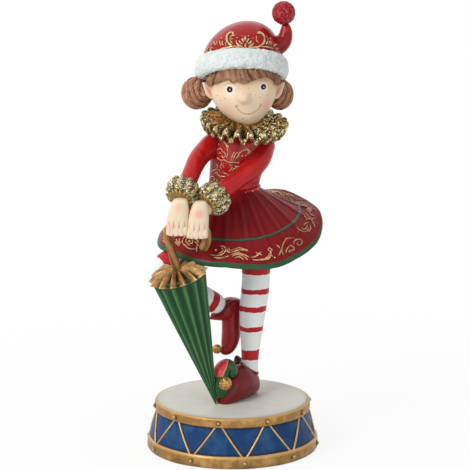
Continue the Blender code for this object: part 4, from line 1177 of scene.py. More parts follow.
for i, (x, z) in enumerate(FRECKLES):
    # the one on the chin is the largest
    half_x, half_z = (0.42, 0.40) if z < 161 else (0.22 + 0.05 * (i % 3), 0.22 + 0.04 * (i % 2))
    disc(bm, on_face, x, z, half_x, half_z, 0.02)
piece(
    "brows_and_freckles", bm,
    paint("tan_freckle_paint", "B68C62", "A67E58", "C09870", rough=0.45, coat=0.1, relief=0.0), fill=False,
)

# ---------------------------------------------------------------- the hair
# A fringe of curved locks under the hat, hair close over the back of the head, and a coiled bun at each side.
# Chestnut paint, with painted highlight on the strands and dark brown painted shade in the partings between them.

HAIR_PITCH = math.radians(24)
HAIR_HALF = HEAD_HALF + Vector((1.25, 1.25, 1.1))
tip_hair = Matrix.Rotation(-HAIR_PITCH, 3, "X")
# The lower edge of the fringe from her right ear to her left, as points on the head
FRINGE = [
    (-12.6, -4.0, 174.6), (-12.0, -6.9, 174.9), (-10.6, -9.0, 174.3), (-9.3, -10.6, 174.4), (-8.4, -12.4, 175.6),
    (-7.3, -13.6, 175.8), (-5.2, -15.4, 176.7), (-3.2, -17.0, 178.0), (-1.9, -17.4, 178.4),
    (-0.6, -17.8, 177.2), (0.3, -18.0, 176.4), (1.3, -18.4, 177.2), (2.3, -18.8, 177.6), (3.6, -18.9, 176.6),
    (5.2, -18.9, 176.5), (6.6, -18.8, 176.8), (7.9, -18.6, 177.3), (10.0, -18.2, 178.0),
    (11.7, -17.6, 178.5), (13.8, -16.4, 178.9), (15.6, -15.0, 179.0), (17.4, -13.2, 178.3), (18.7, -11.9, 177.0),
    (19.5, -11.0, 174.9), (20.4, -9.2, 174.6), (21.2, -6.8, 176.0), (21.8, -4.0, 175.4),
]
edge_line = []
for x, y, z in FRINGE:
    flat = tip_hair.transposed() @ (Vector((x, y, z)) - HEAD)
    flat = Vector((flat.x / HAIR_HALF.x, flat.y / HAIR_HALF.y, flat.z / HAIR_HALF.z)).normalized()
    edge_line.append((math.atan2(flat.y, flat.x), math.acos(flat.z)))
edge_line.sort()
FIRST, LAST = edge_line[0], edge_line[-1]


def hair_edge(turn):
    """The polar angle at which the hair ends, for a bearing round the head."""
    turn = math.remainder(turn, math.tau)
    if turn <= FIRST[0] or turn >= LAST[0]:
        gap = min((FIRST[0] - turn) % math.tau, (turn - LAST[0]) % math.tau)
        return max(FIRST[1], 0) + (math.radians(101) - FIRST[1]) * min(1.0, gap / 0.5)
    for (a, low), (b, high) in zip(edge_line, edge_line[1:]):
        if a <= turn <= b:
            return low + (high - low) * (turn - a) / max(1e-6, b - a)
    return math.radians(100)


def strands(turn, share):
    """The relief of combed hair, from 0 in a parting to 1 on a strand."""
    lean = turn + 0.62 * share * math.sin(1.6 * (turn + 1.72)) + 0.02 * math.sin(11 * share + 5 * turn)
    locks = abs(math.sin(lean * 15 + 1.3 * math.sin(lean * 5) + 0.6 * math.sin(lean * 11)))
    fine = abs(math.sin(lean * 41 + 1.9 * math.sin(lean * 7 + share * 3)))
    return 0.64 * locks**0.55 + 0.36 * fine**0.8


def stretched(way, halves):
    """A way out from a ball's centre, stretched to an ellipsoid."""
    return Vector([part * half for part, half in zip(way, halves)])


chestnut = paint(
    "chestnut_hair", "946146", "2E150C", "C99F80", rough=0.42, coat=0.1, patch=2.4, grain=0.6, relief=0.05,
    dapple=0.8,
)
bm = bmesh.new()


def hair(turn, share):
    limit = hair_edge(turn)
    if share < 0.86:
        t = share / 0.86
        polar, sunk = limit * (0.22 + 0.78 * t), 0.0
    else:
        t = (share - 0.86) / 0.14
        polar, sunk = limit * (1 - 0.05 * t), -2.4 * t
    way = stretched(on_ball(turn, polar), HAIR_HALF)
    comb = strands(turn, share)
    swell = 0.35 * math.sin(math.pi * (share - 0.6) / 0.3) if 0.6 < share < 0.9 else 0.0
    rise = 1.15 * comb - 0.65 + sunk + swell
    # painted highlight on the strands and painted shade in the partings
    return HEAD + tip_hair @ (way * (1 + rise / way.length)), 1.15 - 1.75 * comb


wrap(bm, 420, 64, hair)
# The fringe is a darker copy of the chestnut paint, as painted shade
piece(
    "hair_fringe", bm,
    paint(
        "chestnut_fringe_in_painted_shade", "7C523C", "2A140C", "B78C6E", rough=0.42, coat=0.1, patch=2.4, grain=0.6,
        relief=0.05, dapple=0.8,
    ),
)


def bun(bm, centre, halves, pole, rounds, hand):
    """Hair coiled round a pole: grooves wind out from it, with finer strands between."""
    pole = Vector(pole).normalized()
    aside = pole.orthogonal().normalized()
    ahead = pole.cross(aside)

    def place(turn, share):
        polar = math.pi * share
        way = pole * math.cos(polar) + (aside * math.cos(turn) + ahead * math.sin(turn)) * math.sin(polar)
        wind = polar * rounds + hand * turn * 0.5 + 0.9 * noise.noise(way * 1.7) + 0.3 * noise.noise(way * 5)
        coil = abs(math.sin(wind))
        fine = abs(math.sin(wind * 2.6 + 1.6 * noise.noise(way * 3)))
        comb = 0.62 * coil**0.5 + 0.38 * fine**0.8
        scale = 0.87 + 0.14 * comb
        # painted shade in the grooves of the coil and painted highlight on its strands
        return Vector(centre) + stretched(way, halves) * scale, 1.6 - 2.35 * comb

    wrap(bm, 160, 120, place)


bm = bmesh.new()
bun(bm, (-16.5, 3.6, 170.0), (7.5, 7.6, 7.9), (0.70, -0.68, 0.20), 7.4, 2)
bun(bm, (22.2, 3.6, 169.2), (6.5, 7.0, 7.4), (-0.66, -0.72, 0.20), 7.0, -2)
# a small curl end lies in front of her right ear
limb(
    bm, [(-12.8, -5.4, 173.2, 0.5), (-13.6, -5.8, 171.4, 0.9), (-12.9, -6.3, 169.9, 0.8), (-12.0, -6.3, 170.7, 0.5)],
    14, 18,
)
piece("hair_buns", bm, chestnut)

# ---------------------------------------------------------------- the hat
# A stocking cap pulled on to one side: a smooth dome whose tip twists over and stands up at her left to carry the pompom.
# Scarlet enamel under a high gloss varnish, with deeper red painted shade towards its lower edge, where the brim meets
# it.

HAT_PITCH = math.radians(20)
SEAT = HEAD + Vector((-0.8, 4.5, 8.0))
HAT_HALF, HAT_HEIGHT = (19.0, 18.5), 22.2
tip_hat = Matrix.Rotation(-HAT_PITCH, 3, "X")


def cap(turn, height):
    """A point of the dome: height 0 is at the brim and 1 the crown."""
    reach = max(0.0, 1 - max(0.0, height) ** 2.15) ** (1 / 2.15) if height > 0 else 1 + height
    rim = tip_hat @ Vector((HAT_HALF[0] * reach * math.cos(turn), HAT_HALF[1] * reach * math.sin(turn), 0))
    return SEAT + tip_hat @ Vector((3.0 * height**2, 0, HAT_HEIGHT * height)) + rim


scarlet = paint(
    "scarlet_gloss_hat", "9A1013", "560A10", "B0191C", rough=0.24, coat=0.3, patch=12.0, grain=2.2, relief=0.015,
    dapple=0.4,
)
bm = bmesh.new()


def dome_of_hat(turn, share):
    height = -0.14 + 1.139 * math.sin(share * math.pi / 2) ** 1.15
    spot = cap(turn, min(0.9995, height)) if share < 0.999 else SEAT + tip_hat @ Vector((3.0, 0, HAT_HEIGHT))
    # painted shade just above the brim
    return spot, max(0.0, 0.5 - abs(height - 0.06) * 5)


wrap(bm, 160, 60, dome_of_hat)
hat_piece = piece("hat_dome", bm, scarlet)

bm = bmesh.new()
ROOT = SEAT + Vector((9.5, 1.0, 9.5))
tail = [
    (-2.0, -0.3, 0.6, 6.3), (0.0, 0.0, 0.0, 6.3), (5.5, 1.0, 0.5, 5.45), (9.5, 1.5, 2.9, 4.15),
    (11.0, 1.5, 6.5, 3.15), (10.8, 1.1, 12.0, 2.7),
]


def twist(turn, share):
    fold = 0.05 * hump(share - 0.42 - 0.05 * math.sin(turn), 0.07)
    # painted shade in the fold
    return 1 - fold, fold * 8


limb(bm, [(ROOT.x + x, ROOT.y + y, ROOT.z + z, r) for x, y, z, r in tail], 48, 60, section=twist)
orange_red = paint(
    "bright_red_gloss_tail", "880E13", "4C0910", "D23A1C", rough=0.26, coat=0.3, patch=6.0, grain=1.8, relief=0.02,
    dapple=0.9,
)
piece("hat_tail", bm, orange_red)

# The pompom: a ball of clipped wool, cast as a rough surface and painted red with fine red glitter
POMPOM, POMPOM_RADIUS = ROOT + Vector((9.9, 0.5, 16.2)), 5.4
wool = paint(
    "red_glittered_pompom", "9A101A", "560710", "D8444E", rough=0.4, coat=0.2, patch=1.2, grain=0.45, relief=0.35,
    dapple=0.9,
)
specks = add(wool["tree"], "ShaderNodeTexVoronoi", {"Vector": wool["mm"], "Scale": 1.5}).outputs["Color"]
chance = add(wool["tree"], "ShaderNodeSeparateColor", {0: specks}).outputs[0]
over(wool, ramp(wool["tree"], chance, 0.30, 0.22, 0.7), "5A0810")
over(wool, ramp(wool["tree"], chance, 0.78, 0.86, 0.45), "E8707A")
bm = bmesh.new()


def clipped(turn, share):
    way = on_ball(turn, math.pi * share)
    tuft = noise.noise(way * 7.5) * 0.6 + noise.noise(way * 16) * 0.5
    # painted shade between the tufts and painted highlight on them
    return POMPOM + way * (POMPOM_RADIUS + 0.42 * tuft), -tuft * 1.2


wrap(bm, 120, 80, clipped)
piece("pompom", bm, wool)

# ---------------------------------------------------------------- the gilt scrollwork of the hat
# Two facing scrolls with a flower between them stand over a garland that follows the brim, on the front and the back.
# Raised lines in bright gold, with small gold berries.

bm = bmesh.new()
# Points in x and z: a fat crescent and a thinner inner line make each of the two facing scrolls
HAT_LINES = [
    ([(0.9, 198.7), (-0.5, 199.0), (-1.8, 198.3), (-2.5, 197.0), (-2.4, 195.4), (-1.5, 194.1), (0.0, 193.5)], 1.9),
    ([(1.3, 197.6), (0.2, 197.6), (-0.7, 197.0), (-1.0, 195.9), (-0.5, 194.8), (0.4, 194.2)], 0.8),
    ([(0.9, 198.7), (0.1, 198.3), (0.7, 197.6), (1.4, 198.1)], 1.0),
    ([(11.2, 198.5), (12.6, 199.0), (13.8, 198.3), (14.6, 196.9), (14.5, 195.1), (13.6, 193.7), (12.2, 192.9)], 1.7),
    ([(11.1, 197.6), (10.9, 196.4), (11.3, 195.1), (12.1, 194.2)], 0.8),
    ([(12.2, 198.3), (12.9, 198.7), (13.3, 198.0)], 1.6),
    ([(15.3, 197.4), (16.1, 196.3), (16.1, 194.8), (15.3, 193.7)], 1.0),
    ([(5.9, 195.5), (5.8, 196.5), (5.9, 197.6)], 1.7), ([(5.2, 194.6), (4.9, 195.6), (4.3, 196.4)], 1.3),
    ([(4.8, 194.0), (3.8, 194.6), (3.0, 195.6)], 1.3),
    ([(4.4, 193.4), (3.0, 193.6), (2.0, 194.6), (1.7, 195.8)], 1.1),
    ([(6.6, 194.6), (7.0, 195.6), (7.7, 196.4)], 1.3), ([(7.0, 194.0), (8.0, 194.6), (8.8, 195.6)], 1.3),
    ([(7.4, 193.4), (8.8, 193.6), (9.9, 194.6)], 1.1), ([(6.0, 192.8), (6.0, 193.6), (6.0, 194.4)], 1.6),
    ([(5.2, 193.0), (3.0, 193.1), (1.3, 193.1), (-0.3, 193.1), (-1.9, 192.6), (-4.0, 192.1), (-6.1, 191.4)], 1.4),
    ([(-6.1, 191.4), (-7.8, 190.7), (-9.6, 189.6), (-11.6, 188.2)], 1.2),
    ([(7.0, 192.9), (9.3, 192.6), (11.1, 192.6), (12.6, 192.9)], 1.4),
    ([(13.0, 192.7), (15.2, 192.6), (17.1, 192.2), (18.9, 191.3)], 1.1),
    ([(-4.1, 193.3), (-4.6, 194.3), (-4.2, 195.2)], 1.3), ([(-5.0, 193.2), (-5.7, 194.3), (-5.5, 195.3)], 1.0),
    ([(-7.4, 193.3), (-8.2, 194.0), (-8.4, 194.8)], 1.2), ([(-6.9, 193.4), (-6.9, 194.3), (-7.3, 195.0)], 1.0),
    ([(-3.0, 192.8), (-2.9, 193.8), (-3.4, 194.4)], 0.9),
    ([(-8.7, 190.4), (-9.9, 190.7), (-9.9, 191.6), (-8.8, 191.9)], 1.1),
    ([(-10.6, 189.2), (-11.6, 190.0), (-11.2, 191.2), (-10.3, 192.0)], 1.1),
    ([(-12.4, 188.6), (-13.0, 189.8), (-12.5, 191.0)], 1.0),
    ([(16.6, 193.4), (17.0, 194.6), (17.8, 194.4), (17.5, 193.2)], 1.0),
    ([(18.7, 192.4), (19.6, 193.3), (20.7, 192.9)], 1.1), ([(19.6, 191.0), (20.4, 191.6), (21.0, 191.0)], 1.0),
]
HAT_DOTS = [
    (-8.8, 195.8, 0.4), (-4.9, 196.4, 0.4), (4.4, 197.6, 0.35), (7.4, 197.6, 0.35), (6.0, 192.3, 0.5),
    (2.2, 196.8, 0.35), (9.6, 196.6, 0.35), (-9.4, 193.2, 0.4), (17.4, 196.0, 0.35), (-0.2, 196.3, 0.4),
]
HAT_STROKE, HAT_RISE = 0.98, 0.42
for way in (False, True):
    lay = facing(hat_piece, back=way)
    # the brim sits lower at the back
    lift = 5.0 if way else 0.0
    for points, full in HAT_LINES:
        trace(bm, brushed([(x, z - lift) for x, z in points], full, 8 + 3 * len(points)), lay, HAT_STROKE, HAT_RISE)
    for x, z, radius in HAT_DOTS:
        bead(bm, lay, x, z - lift, radius, 0.45)
piece("hat_scrollwork", bm, rubbed_gold("bright_gold_on_scarlet", "9A6632", "FFE2B4", 0.6))

# ---------------------------------------------------------------- the fur brim
# A thick roll of fur round the hat, tipped back with it: a lumpy band with a fine pile.
# Cold white paint with iridescent glitter, its flakes tinted faintly green and pink as painted glints.

BRIM_RADIUS, BRIM_HALF = 18.4, (3.2, 4.9)

fur = paint(
    "white_iridescent_fur", "DCE3E1", "9EABAB", "F1F5F4", rough=0.5, coat=0.1, patch=2.2, grain=0.45, relief=0.25,
    dapple=0.8,
)
flake = add(fur["tree"], "ShaderNodeTexVoronoi", {"Vector": fur["mm"], "Scale": 1.7})
over(fur, 0.5, mixed(fur["tree"], 0.80, flake.outputs["Color"], "E2E9E7"))
bm = bmesh.new()


def pile(turn, share):
    a = math.tau * share
    # the band is squarer than an oval, with an uneven outline
    ca, sa = math.cos(a), math.sin(a)
    round_out = (abs(ca) ** 2.6 + abs(sa) ** 2.6) ** (-1 / 2.6)
    out = BRIM_RADIUS + BRIM_HALF[0] * ca * round_out
    spot = Vector((out * math.cos(turn), out * math.sin(turn), BRIM_HALF[1] * 0.96 * sa * round_out))
    lump = 0.34 * noise.noise(spot / 2.6) + 0.34 * noise.noise(spot / 1.0) + 0.30 * noise.noise(spot / 0.5)
    way = Vector((ca * math.cos(turn), ca * math.sin(turn), sa))
    # painted shade between the lumps and painted highlight on them
    return SEAT + tip_hat @ (spot + way * lump), -lump * 1.5


wrap(bm, 420, 84, pile)
piece("fur_brim", bm, fur)

# ---------------------------------------------------------------- the ruff
# A deep gathered collar round the neck: one strip of lace folded back and forth into twenty-two stiff loops.
# Its edges are thick with gold glitter in clear glue; on her right, close under the chin, it is plain gold paint.

RUFF_AT = NECK + Vector((0.0, -2.4, 2.4))
RUFF_AXIS = Vector((math.tan(math.radians(5)), -math.tan(math.radians(12)), 1.0)).normalized()
RUFF_PLEATS = 22


def glitter(name, colours, flake_size, dull=0.36, fold=0.8):
    """Loose metal flakes in glue: each cell has a tilt of its own, so that some flash under the lamps, and a tone of
    its own, painted pale or dark as painted glints and painted shade.
    """
    coat = paint(
        name, colours[1], colours[0], colours[2], rough=0.3, coat=0.15, patch=2.0, grain=0.4, relief=0.1, metal=0.6,
    )
    tree, shader = coat["tree"], coat["shader"]
    cells = add(tree, "ShaderNodeTexVoronoi", {"Vector": coat["mm"], "Scale": 1 / flake_size, "Randomness": 1.0})
    chance = add(tree, "ShaderNodeSeparateColor", {0: cells.outputs["Color"]})
    dark = ramp(tree, chance.outputs[0], dull - 0.06, dull + 0.06, 0.0, 1.0)
    bright = ramp(tree, chance.outputs[0], 0.72, 0.80)
    # some cells painted dark and some pale, as painted shade and painted glints
    over(coat, maths(tree, "MULTIPLY", dark, 0.85), colours[0])
    over(coat, maths(tree, "MULTIPLY", bright, 0.95), colours[3])
    # the outer edges are painted pale, and the folds between the loops get painted shade
    depth = add(tree, "ShaderNodeAttribute", attribute_name="hollow").outputs["Fac"]
    over(coat, ramp(tree, depth, 0.42, 0.72, fold), "2C1B0C")
    over(coat, ramp(tree, depth, -0.75, -1.15, 0.8), colours[3])
    tilt = add(
        tree, "ShaderNodeVectorMath", {0: cells.outputs["Color"], 1: (-0.5, -0.5, -0.5)}, operation="ADD",
    ).outputs[0]
    lean = add(tree, "ShaderNodeVectorMath", {0: tilt, "Scale": 1.5}, operation="SCALE").outputs[0]
    normal = add(tree, "ShaderNodeNewGeometry").outputs["Normal"]
    turned_normal = add(tree, "ShaderNodeVectorMath", {0: normal, 1: lean}, operation="ADD").outputs[0]
    unit = add(tree, "ShaderNodeVectorMath", {0: turned_normal}, operation="NORMALIZE").outputs[0]
    tree.links.new(unit, shader.inputs["Normal"])
    return coat


gold_glitter = glitter("gold_glitter_in_glue", ("3A2A10", "8E6F30", "BE9F58", "FFF0C2"), 0.50)


FRILL_ROWS = 48


def frill(bm, centre, axis, profile, pleats, wave, scallop, columns, rough, edge=0.0):
    """A gathered collar. The profile runs round the cloth's section as radius, height and share of the wave."""
    side = (Vector((1, 0, 0)) - axis * axis.x).normalized()
    front = axis.cross(side)
    stations, _ = smoothed([(r, h, swing * 4) for r, h, swing in profile], FRILL_ROWS)

    def place(turn, share):
        radius, height, swing = stations[round(share * FRILL_ROWS)]
        swing = max(0.0, swing / 4)
        uneven = turn + 0.10 * math.sin(3 * turn + 1) / 3
        fold = math.cos(pleats * uneven)
        pinch = 0.5 - 0.5 * fold
        reach = radius * (1 + scallop * swing * fold)
        bearing = turn + 0.35 * swing / pleats * math.sin(2 * pleats * uneven)
        way = side * math.cos(bearing) + front * math.sin(bearing)
        spot = centre + way * reach + axis * (height + wave * swing * fold)
        crumbs = rough * (noise.noise(spot / 0.7) + 0.6 * noise.noise(spot / 0.35))
        pale_rim = edge * hump(share - 0.5, 0.03)
        # painted shade in the folds between the loops, and a pale line along the outer rim
        return spot + way * crumbs + axis * crumbs * 0.6, (pinch * 1.1 - 0.35) * (1 - 0.8 * pale_rim) - 1.1 * pale_rim

    wrap(bm, columns, FRILL_ROWS, place)


bm = bmesh.new()
ruff_profile = (
    (5.0, 3.0, 0.0), (10.0, 2.6, 0.35), (13.2, 2.0, 0.75), (16.0, 1.7, 0.95), (19.0, 1.6, 1.0), (19.9, 0.0, 1.0),
    (19.0, -1.6, 1.0), (15.0, -1.6, 0.9), (10.0, -1.7, 0.5), (5.6, -1.8, 0.0),
)
frill(bm, RUFF_AT, RUFF_AXIS, ruff_profile, RUFF_PLEATS, 2.1, 0.05, 660, 0.14, edge=1.0)
piece("ruff", bm, gold_glitter)

# The plain inner gathers, close under the chin
inner_gold = paint(
    "antique_gold_gathers", "A06C2A", "5A3414", "CF9A50", rough=0.36, coat=0.25, patch=2.0, grain=0.6, relief=0.05,
    metal=0.45, dapple=0.8,
)
bm = bmesh.new()
inner_profile = (
    (4.6, 2.9, 0.0), (8.0, 2.9, 0.4), (11.4, 2.5, 0.8), (12.8, 2.3, 1.0), (11.8, 1.2, 0.9), (6.0, 0.6, 0.0),
)
frill(bm, RUFF_AT + Vector((-4.2, 0.0, 0.45)), RUFF_AXIS, inner_profile, RUFF_PLEATS, 1.1, 0.05, 440, 0.05)
piece("ruff_inner_gathers", bm, inner_gold)

# ---------------------------------------------------------------- the sleeves
# Two smooth, tight sleeves: her right arm nearly straight, her left bent across the body, both down to the crook.
# Scarlet enamel, glossy and brighter than the bodice, with soft creases inside the elbow.

SHOULDERS = {-1: (-8.3, -0.3, 147.5), 1: (15.7, -0.3, 147.5)}
ELBOWS = {-1: (-15.8, -10.1, 140.7), 1: (11.4, -9.9, 138.6)}
CUFFS = {-1: (-22.8, -26.5, 127.5), 1: (-8.8, -27.7, 124.6)}
PALMS = {-1: (-24.8, -32.1, 117.3), 1: (-15.6, -32.1, 116.0)}

sleeve_red = paint(
    "scarlet_sleeve_enamel", "B4171A", "700A12", "CC2C24", rough=0.3, coat=0.4, patch=7.0, grain=2.0, relief=0.02,
    dapple=0.6,
)
bm = bmesh.new()
for side in (-1, 1):
    shoulder, elbow, cuff = Vector(SHOULDERS[side]), Vector(ELBOWS[side]), Vector(CUFFS[side])
    start, upper = shoulder - (elbow - shoulder) * 0.15, shoulder + (elbow - shoulder) * 0.25
    joints = [
        (*start, 4.4), (*upper, 5.2), (*elbow, 4.5 if side < 0 else 4.95), (*elbow.lerp(cuff, 0.6), 4.05),
        (*cuff, 3.6),
    ]

    def creases(turn, share, side=side):
        inside = max(0.0, math.cos(turn - (0.6 if side < 0 else 3.4)))
        fold = inside * sum(hump(share - at - 0.02 * math.sin(turn * 2), 0.022) for at in (0.37, 0.47))
        soft = 0.014 * math.sin(share * 19 + turn * 2) * math.sin(math.pi * share)
        # painted shade in the creases inside the elbow
        return 1 + soft - 0.03 * fold, min(0.9, fold * 0.3)

    limb(bm, joints, 56, 84, section=creases)
piece("sleeves", bm, sleeve_red)

# ---------------------------------------------------------------- the cuffs
# A thick gathered frill at each wrist, standing out over the back of the hand.
# A paler gold glitter, with a ring of plain olive gold gathers next to the hand.

glitter_bm, plain_bm = bmesh.new(), bmesh.new()
for side in (-1, 1):
    elbow, cuff = Vector(ELBOWS[side]), Vector(CUFFS[side])
    axis = (elbow - cuff).normalized()
    profile = (
        (2.6, 3.4, 0.0), (5.6, 4.6, 0.7), (7.2, 3.0, 1.0), (7.7, 0.2, 1.0), (7.3, -2.4, 0.95), (6.2, -3.6, 0.7),
        (4.0, -3.4, 0.2),
    )
    frill(glitter_bm, cuff, axis, profile, 11, 0.6, 0.05, 300, 0.34)
    inner = ((3.2, -2.6, 0.0), (4.7, -3.2, 0.8), (5.3, -3.9, 1.0), (4.8, -4.6, 0.9), (3.4, -4.5, 0.2))
    frill(plain_bm, cuff, axis, inner, 17, 0.25, 0.05, 240, 0.02)
piece(
    "cuffs", glitter_bm,
    glitter("pale_gold_glitter_in_glue", ("4C3C1E", "B4A066", "E2D49E", "FFFCE6"), 0.50, dull=0.22, fold=0.12),
)
piece(
    "cuff_inner_gathers", plain_bm,
    paint(
        "olive_gold_gathers", "A8884E", "5A4422", "CFB67E", rough=0.38, coat=0.2, patch=2.0, grain=0.6, relief=0.05,
        metal=0.4, dapple=0.8,
    ),
)

# ---------------------------------------------------------------- the hands
# Small mitten-like hands side by side over the crook: a smooth back, then four fingers folded down in front.
# The same cream flesh paint, with a pink touch on each back and brown painted shade in the gaps between the fingers.

PALM_HALF = (4.8, 4.0, 8.0)
# Height, width, depth and sideways shift over the hand, as shares of the half-sizes; the shift is in millimetres
PALM = [
    (1.08, 0.30, 0.40, 1.3), (1.0, 0.62, 0.78, 1.2), (0.70, 0.82, 0.95, 0.9), (0.15, 0.98, 1.0, 0.3),
    (-0.45, 1.04, 0.94, -0.2), (-0.82, 1.04, 0.90, -0.4), (-1.04, 0.98, 0.84, -0.4), (-1.10, 0.4, 0.35, -0.4),
]

hand_paint = paint(
    "cream_hand_paint", "E6D0B4", "A87B55", "F5E6D0", rough=0.38, coat=0.2, patch=7.0, grain=1.2, relief=0.02,
    dapple=0.3,
)
for centre, strength in (((-24.6, -36.2, 122.3), 0.36), ((-14.9, -36.2, 118.9), 0.62), ((-28.2, -35.0, 113.2), 0.36)):
    spray(hand_paint, centre, 3.6, strength, "E98F84")
HAND_ROWS = 60


def between_fingers(turn, share):
    """Brown painted shade along both sides of a finger, from the knuckle on."""
    return 1.0, 0.42 * abs(math.cos(turn)) ** 8 if share > 0.25 else 0.0


bm = bmesh.new()
for side in (-1, 1):
    palm, cuff = Vector(PALMS[side]), Vector(CUFFS[side])
    rings, _ = smoothed(
        [(shift, 0, PALM_HALF[2] * up, wide * 5, thick * 5) for up, wide, thick, shift in PALM], HAND_ROWS,
    )

    def back_of_hand(turn, share, palm=palm, rings=rings):
        shift, _, up, wide, thick = rings[round(share * HAND_ROWS)]
        corner = 1 + 0.10 * math.sin(2 * turn) ** 2
        x = PALM_HALF[0] * wide / 5 * math.cos(turn) * corner
        y = PALM_HALF[1] * thick / 5 * math.sin(turn) * corner
        # the gaps between the fingers run up into the back of the hand and fade, with painted shade in them
        depth = max(0.0, min(1.0, (-0.6 - up) / 3.0)) * max(0.0, -math.sin(turn)) ** 0.5
        gap = max(0.0, -math.cos(math.tau * (x + 0.3) / (PALM_HALF[0] * 0.5))) ** 3 if abs(x) < PALM_HALF[0] * 0.88 else 0.0
        return palm + Vector((shift + x, y + 0.45 * gap * depth, up)), min(0.85, gap * depth * 0.7)

    wrap(bm, 120, HAND_ROWS, back_of_hand)
    for finger in range(4):
        x = (finger - 1.5) * PALM_HALF[0] * 0.5 - 0.3
        length = 5.3 + (0.25 if finger in (1, 2) else 0.0)
        knuckle = palm + Vector((x, -PALM_HALF[1] * 0.58, -2.6))
        bend = (
            (0.9, 1.2, 0.7), (0.6, -1.6, 1.1), (0.1, -length * 0.52, 1.36),
            (0.3, -length * 0.82, 1.40), (1.1, -length * 0.95, 1.2),
        )
        joints = [(*(knuckle + Vector((0, back, up))), radius) for back, up, radius in bend]
        limb(bm, joints, 24, 30, section=between_fingers, blunt=(1.0, 0.5))
    # the thumb lies along the inner side, behind the crook
    limb(
        bm,
        [
            (*(palm + Vector((0.5, 2.0, 3.0))), 1.7), (*(palm + Vector((0.3, 3.2, -1.5))), 1.7),
            (*(palm + Vector((0.0, 2.4, -5.6))), 1.3),
        ],
        20, 20,
    )
    limb(bm, [(*cuff, 3.2), (*cuff.lerp(palm, 0.5), 2.9), (*(palm + Vector((0.4, 0, 2.8))), 3.4)], 32, 24)
piece("hands", bm, hand_paint)

# ---------------------------------------------------------------- the umbrella's canopy
# A rolled umbrella set point down on the drum: fourteen deep pleats that narrow to the tip.
# Bottle green enamel, brushed lengthwise, with painted shade in the valleys and painted highlight along each fold.

TIP = Vector((-7.4, -13.0, 22.4))
STICK = Vector((-0.246896, -0.201475, 0.947865)).normalized()
STICK_SIDE = (Vector((1, 0, 0)) - STICK * STICK.x).normalized()
STICK_FRONT = STICK.cross(STICK_SIDE)
CANOPY_LENGTH, CANOPY_RADIUS, PLEATS = 70.8, 13.0, 14

def off_stick(turn):
    """The way straight out from the stick."""
    return STICK_SIDE * math.cos(turn) + STICK_FRONT * math.sin(turn)


green = paint(
    "bottle_green_canopy", "35663A", "1E4526", "5E8C58", rough=0.45, coat=0.15, patch=6.0, grain=0.9, relief=0.05,
    dapple=0.35,
)
bm = bmesh.new()


def canopy(turn, share):
    along = 0.012 + 0.988 * share
    radius = CANOPY_RADIUS * along**0.97
    wave = 0.5 - 0.5 * math.cos(PLEATS * turn)
    skew = 0.10 * math.sin(PLEATS * turn)
    valley = max(0.0, min(1.0, wave + skew * 0.5)) ** 0.72
    wander = 0.012 * math.sin(turn * 3 + share * 5)
    reach = radius * (1.008 + wander - 0.15 * valley * min(1.0, 0.35 + share))
    if share > 0.985:
        reach *= 0.97
    spot = TIP + STICK * CANOPY_LENGTH * along + off_stick(turn) * reach
    grain = 0.35 * noise.noise(Vector((math.cos(turn) * 26, math.sin(turn) * 26, share * 2.2)))
    # painted shade in the valleys and painted highlight along the folds
    return spot, valley * 1.15 - 0.42 * (1 - wave) ** 6 * 1.8 + grain * 0.6


wrap(bm, PLEATS * 26, 72, canopy)
piece("umbrella_canopy", bm, green)

# ---------------------------------------------------------------- the umbrella's gilt crown
# Where the canopy is gathered, its points fold out into a crimped rosette of fourteen leaves round the stick.
# Antique gold, half metallic, with painted highlight on the ridges and the rim, and red-brown painted shade in the
# folds and underneath.

CROWN_AT = TIP + STICK * CANOPY_LENGTH
crown_gold = paint(
    "antique_gold_rosette", "9C7340", "3C220E", "E6C48C", rough=0.3, coat=0.4, patch=3.0, grain=0.6, relief=0.05,
    metal=0.5, dapple=0.7,
)
bm = bmesh.new()


def rosette(turn, share):
    ridge = abs(2 * ((PLEATS * turn / math.tau) % 1.0) - 1)
    uneven = 0.9 * noise.noise(Vector((math.cos(turn) * 2.6, math.sin(turn) * 2.6, 1.7)))
    rim = 11.2 + 3.4 * ridge**1.15 + uneven
    if share < 0.72:
        t = share / 0.72
        radius = 1.9 + (rim - 1.9) * t
        height = 2.7 * (1 - t) ** 1.3 + 0.9 * math.sin(math.pi * t) - (0.6 + 1.1 * ridge) * t**3
        height += (ridge - 0.45) * 3.3 * math.sin(math.pi * min(1.0, t * 0.62 + 0.05)) + uneven * t * 0.5
        fold = max(0.0, 0.55 - ridge) * 2.4 * min(1.0, t * 3)
        # painted shade in the folds, and painted highlight on the ridges and the rim
        deep = fold - 0.75 * max(0.0, ridge - 0.86) * 5 - 0.9 * max(0.0, t - 0.93) * 12
        return CROWN_AT + off_stick(turn) * radius + STICK * height, deep
    t = (share - 0.72) / 0.28
    radius = rim * (1 - t) + 5.0 * t
    height = -0.7 - 0.9 * math.sin(math.pi * min(1.0, t * 1.5) / 2) + (ridge - 0.45) * 2.2 * (1 - t) + uneven * 0.5 * (1 - t)
    # the underside of the rosette is painted in shade
    return CROWN_AT + off_stick(turn) * radius + STICK * height, 0.9


wrap(bm, PLEATS * 20, 50, rosette)
piece("umbrella_crown", bm, crown_gold)

# ---------------------------------------------------------------- the umbrella's stick
# A short shaft that rises from the crown and bends over into a crook, which both hands cover.
# Brown-gold paint, dull, with darker streaks along the bend; a pinhole is left where the shaft meets the crown.

CROOK_RADIUS, CROOK_SWEEP = 9.0, math.radians(218)
CROOK_START = CROWN_AT + STICK * 19.2
CROOK_CENTRE = CROOK_START + Vector((CROOK_RADIUS, 0, 0))

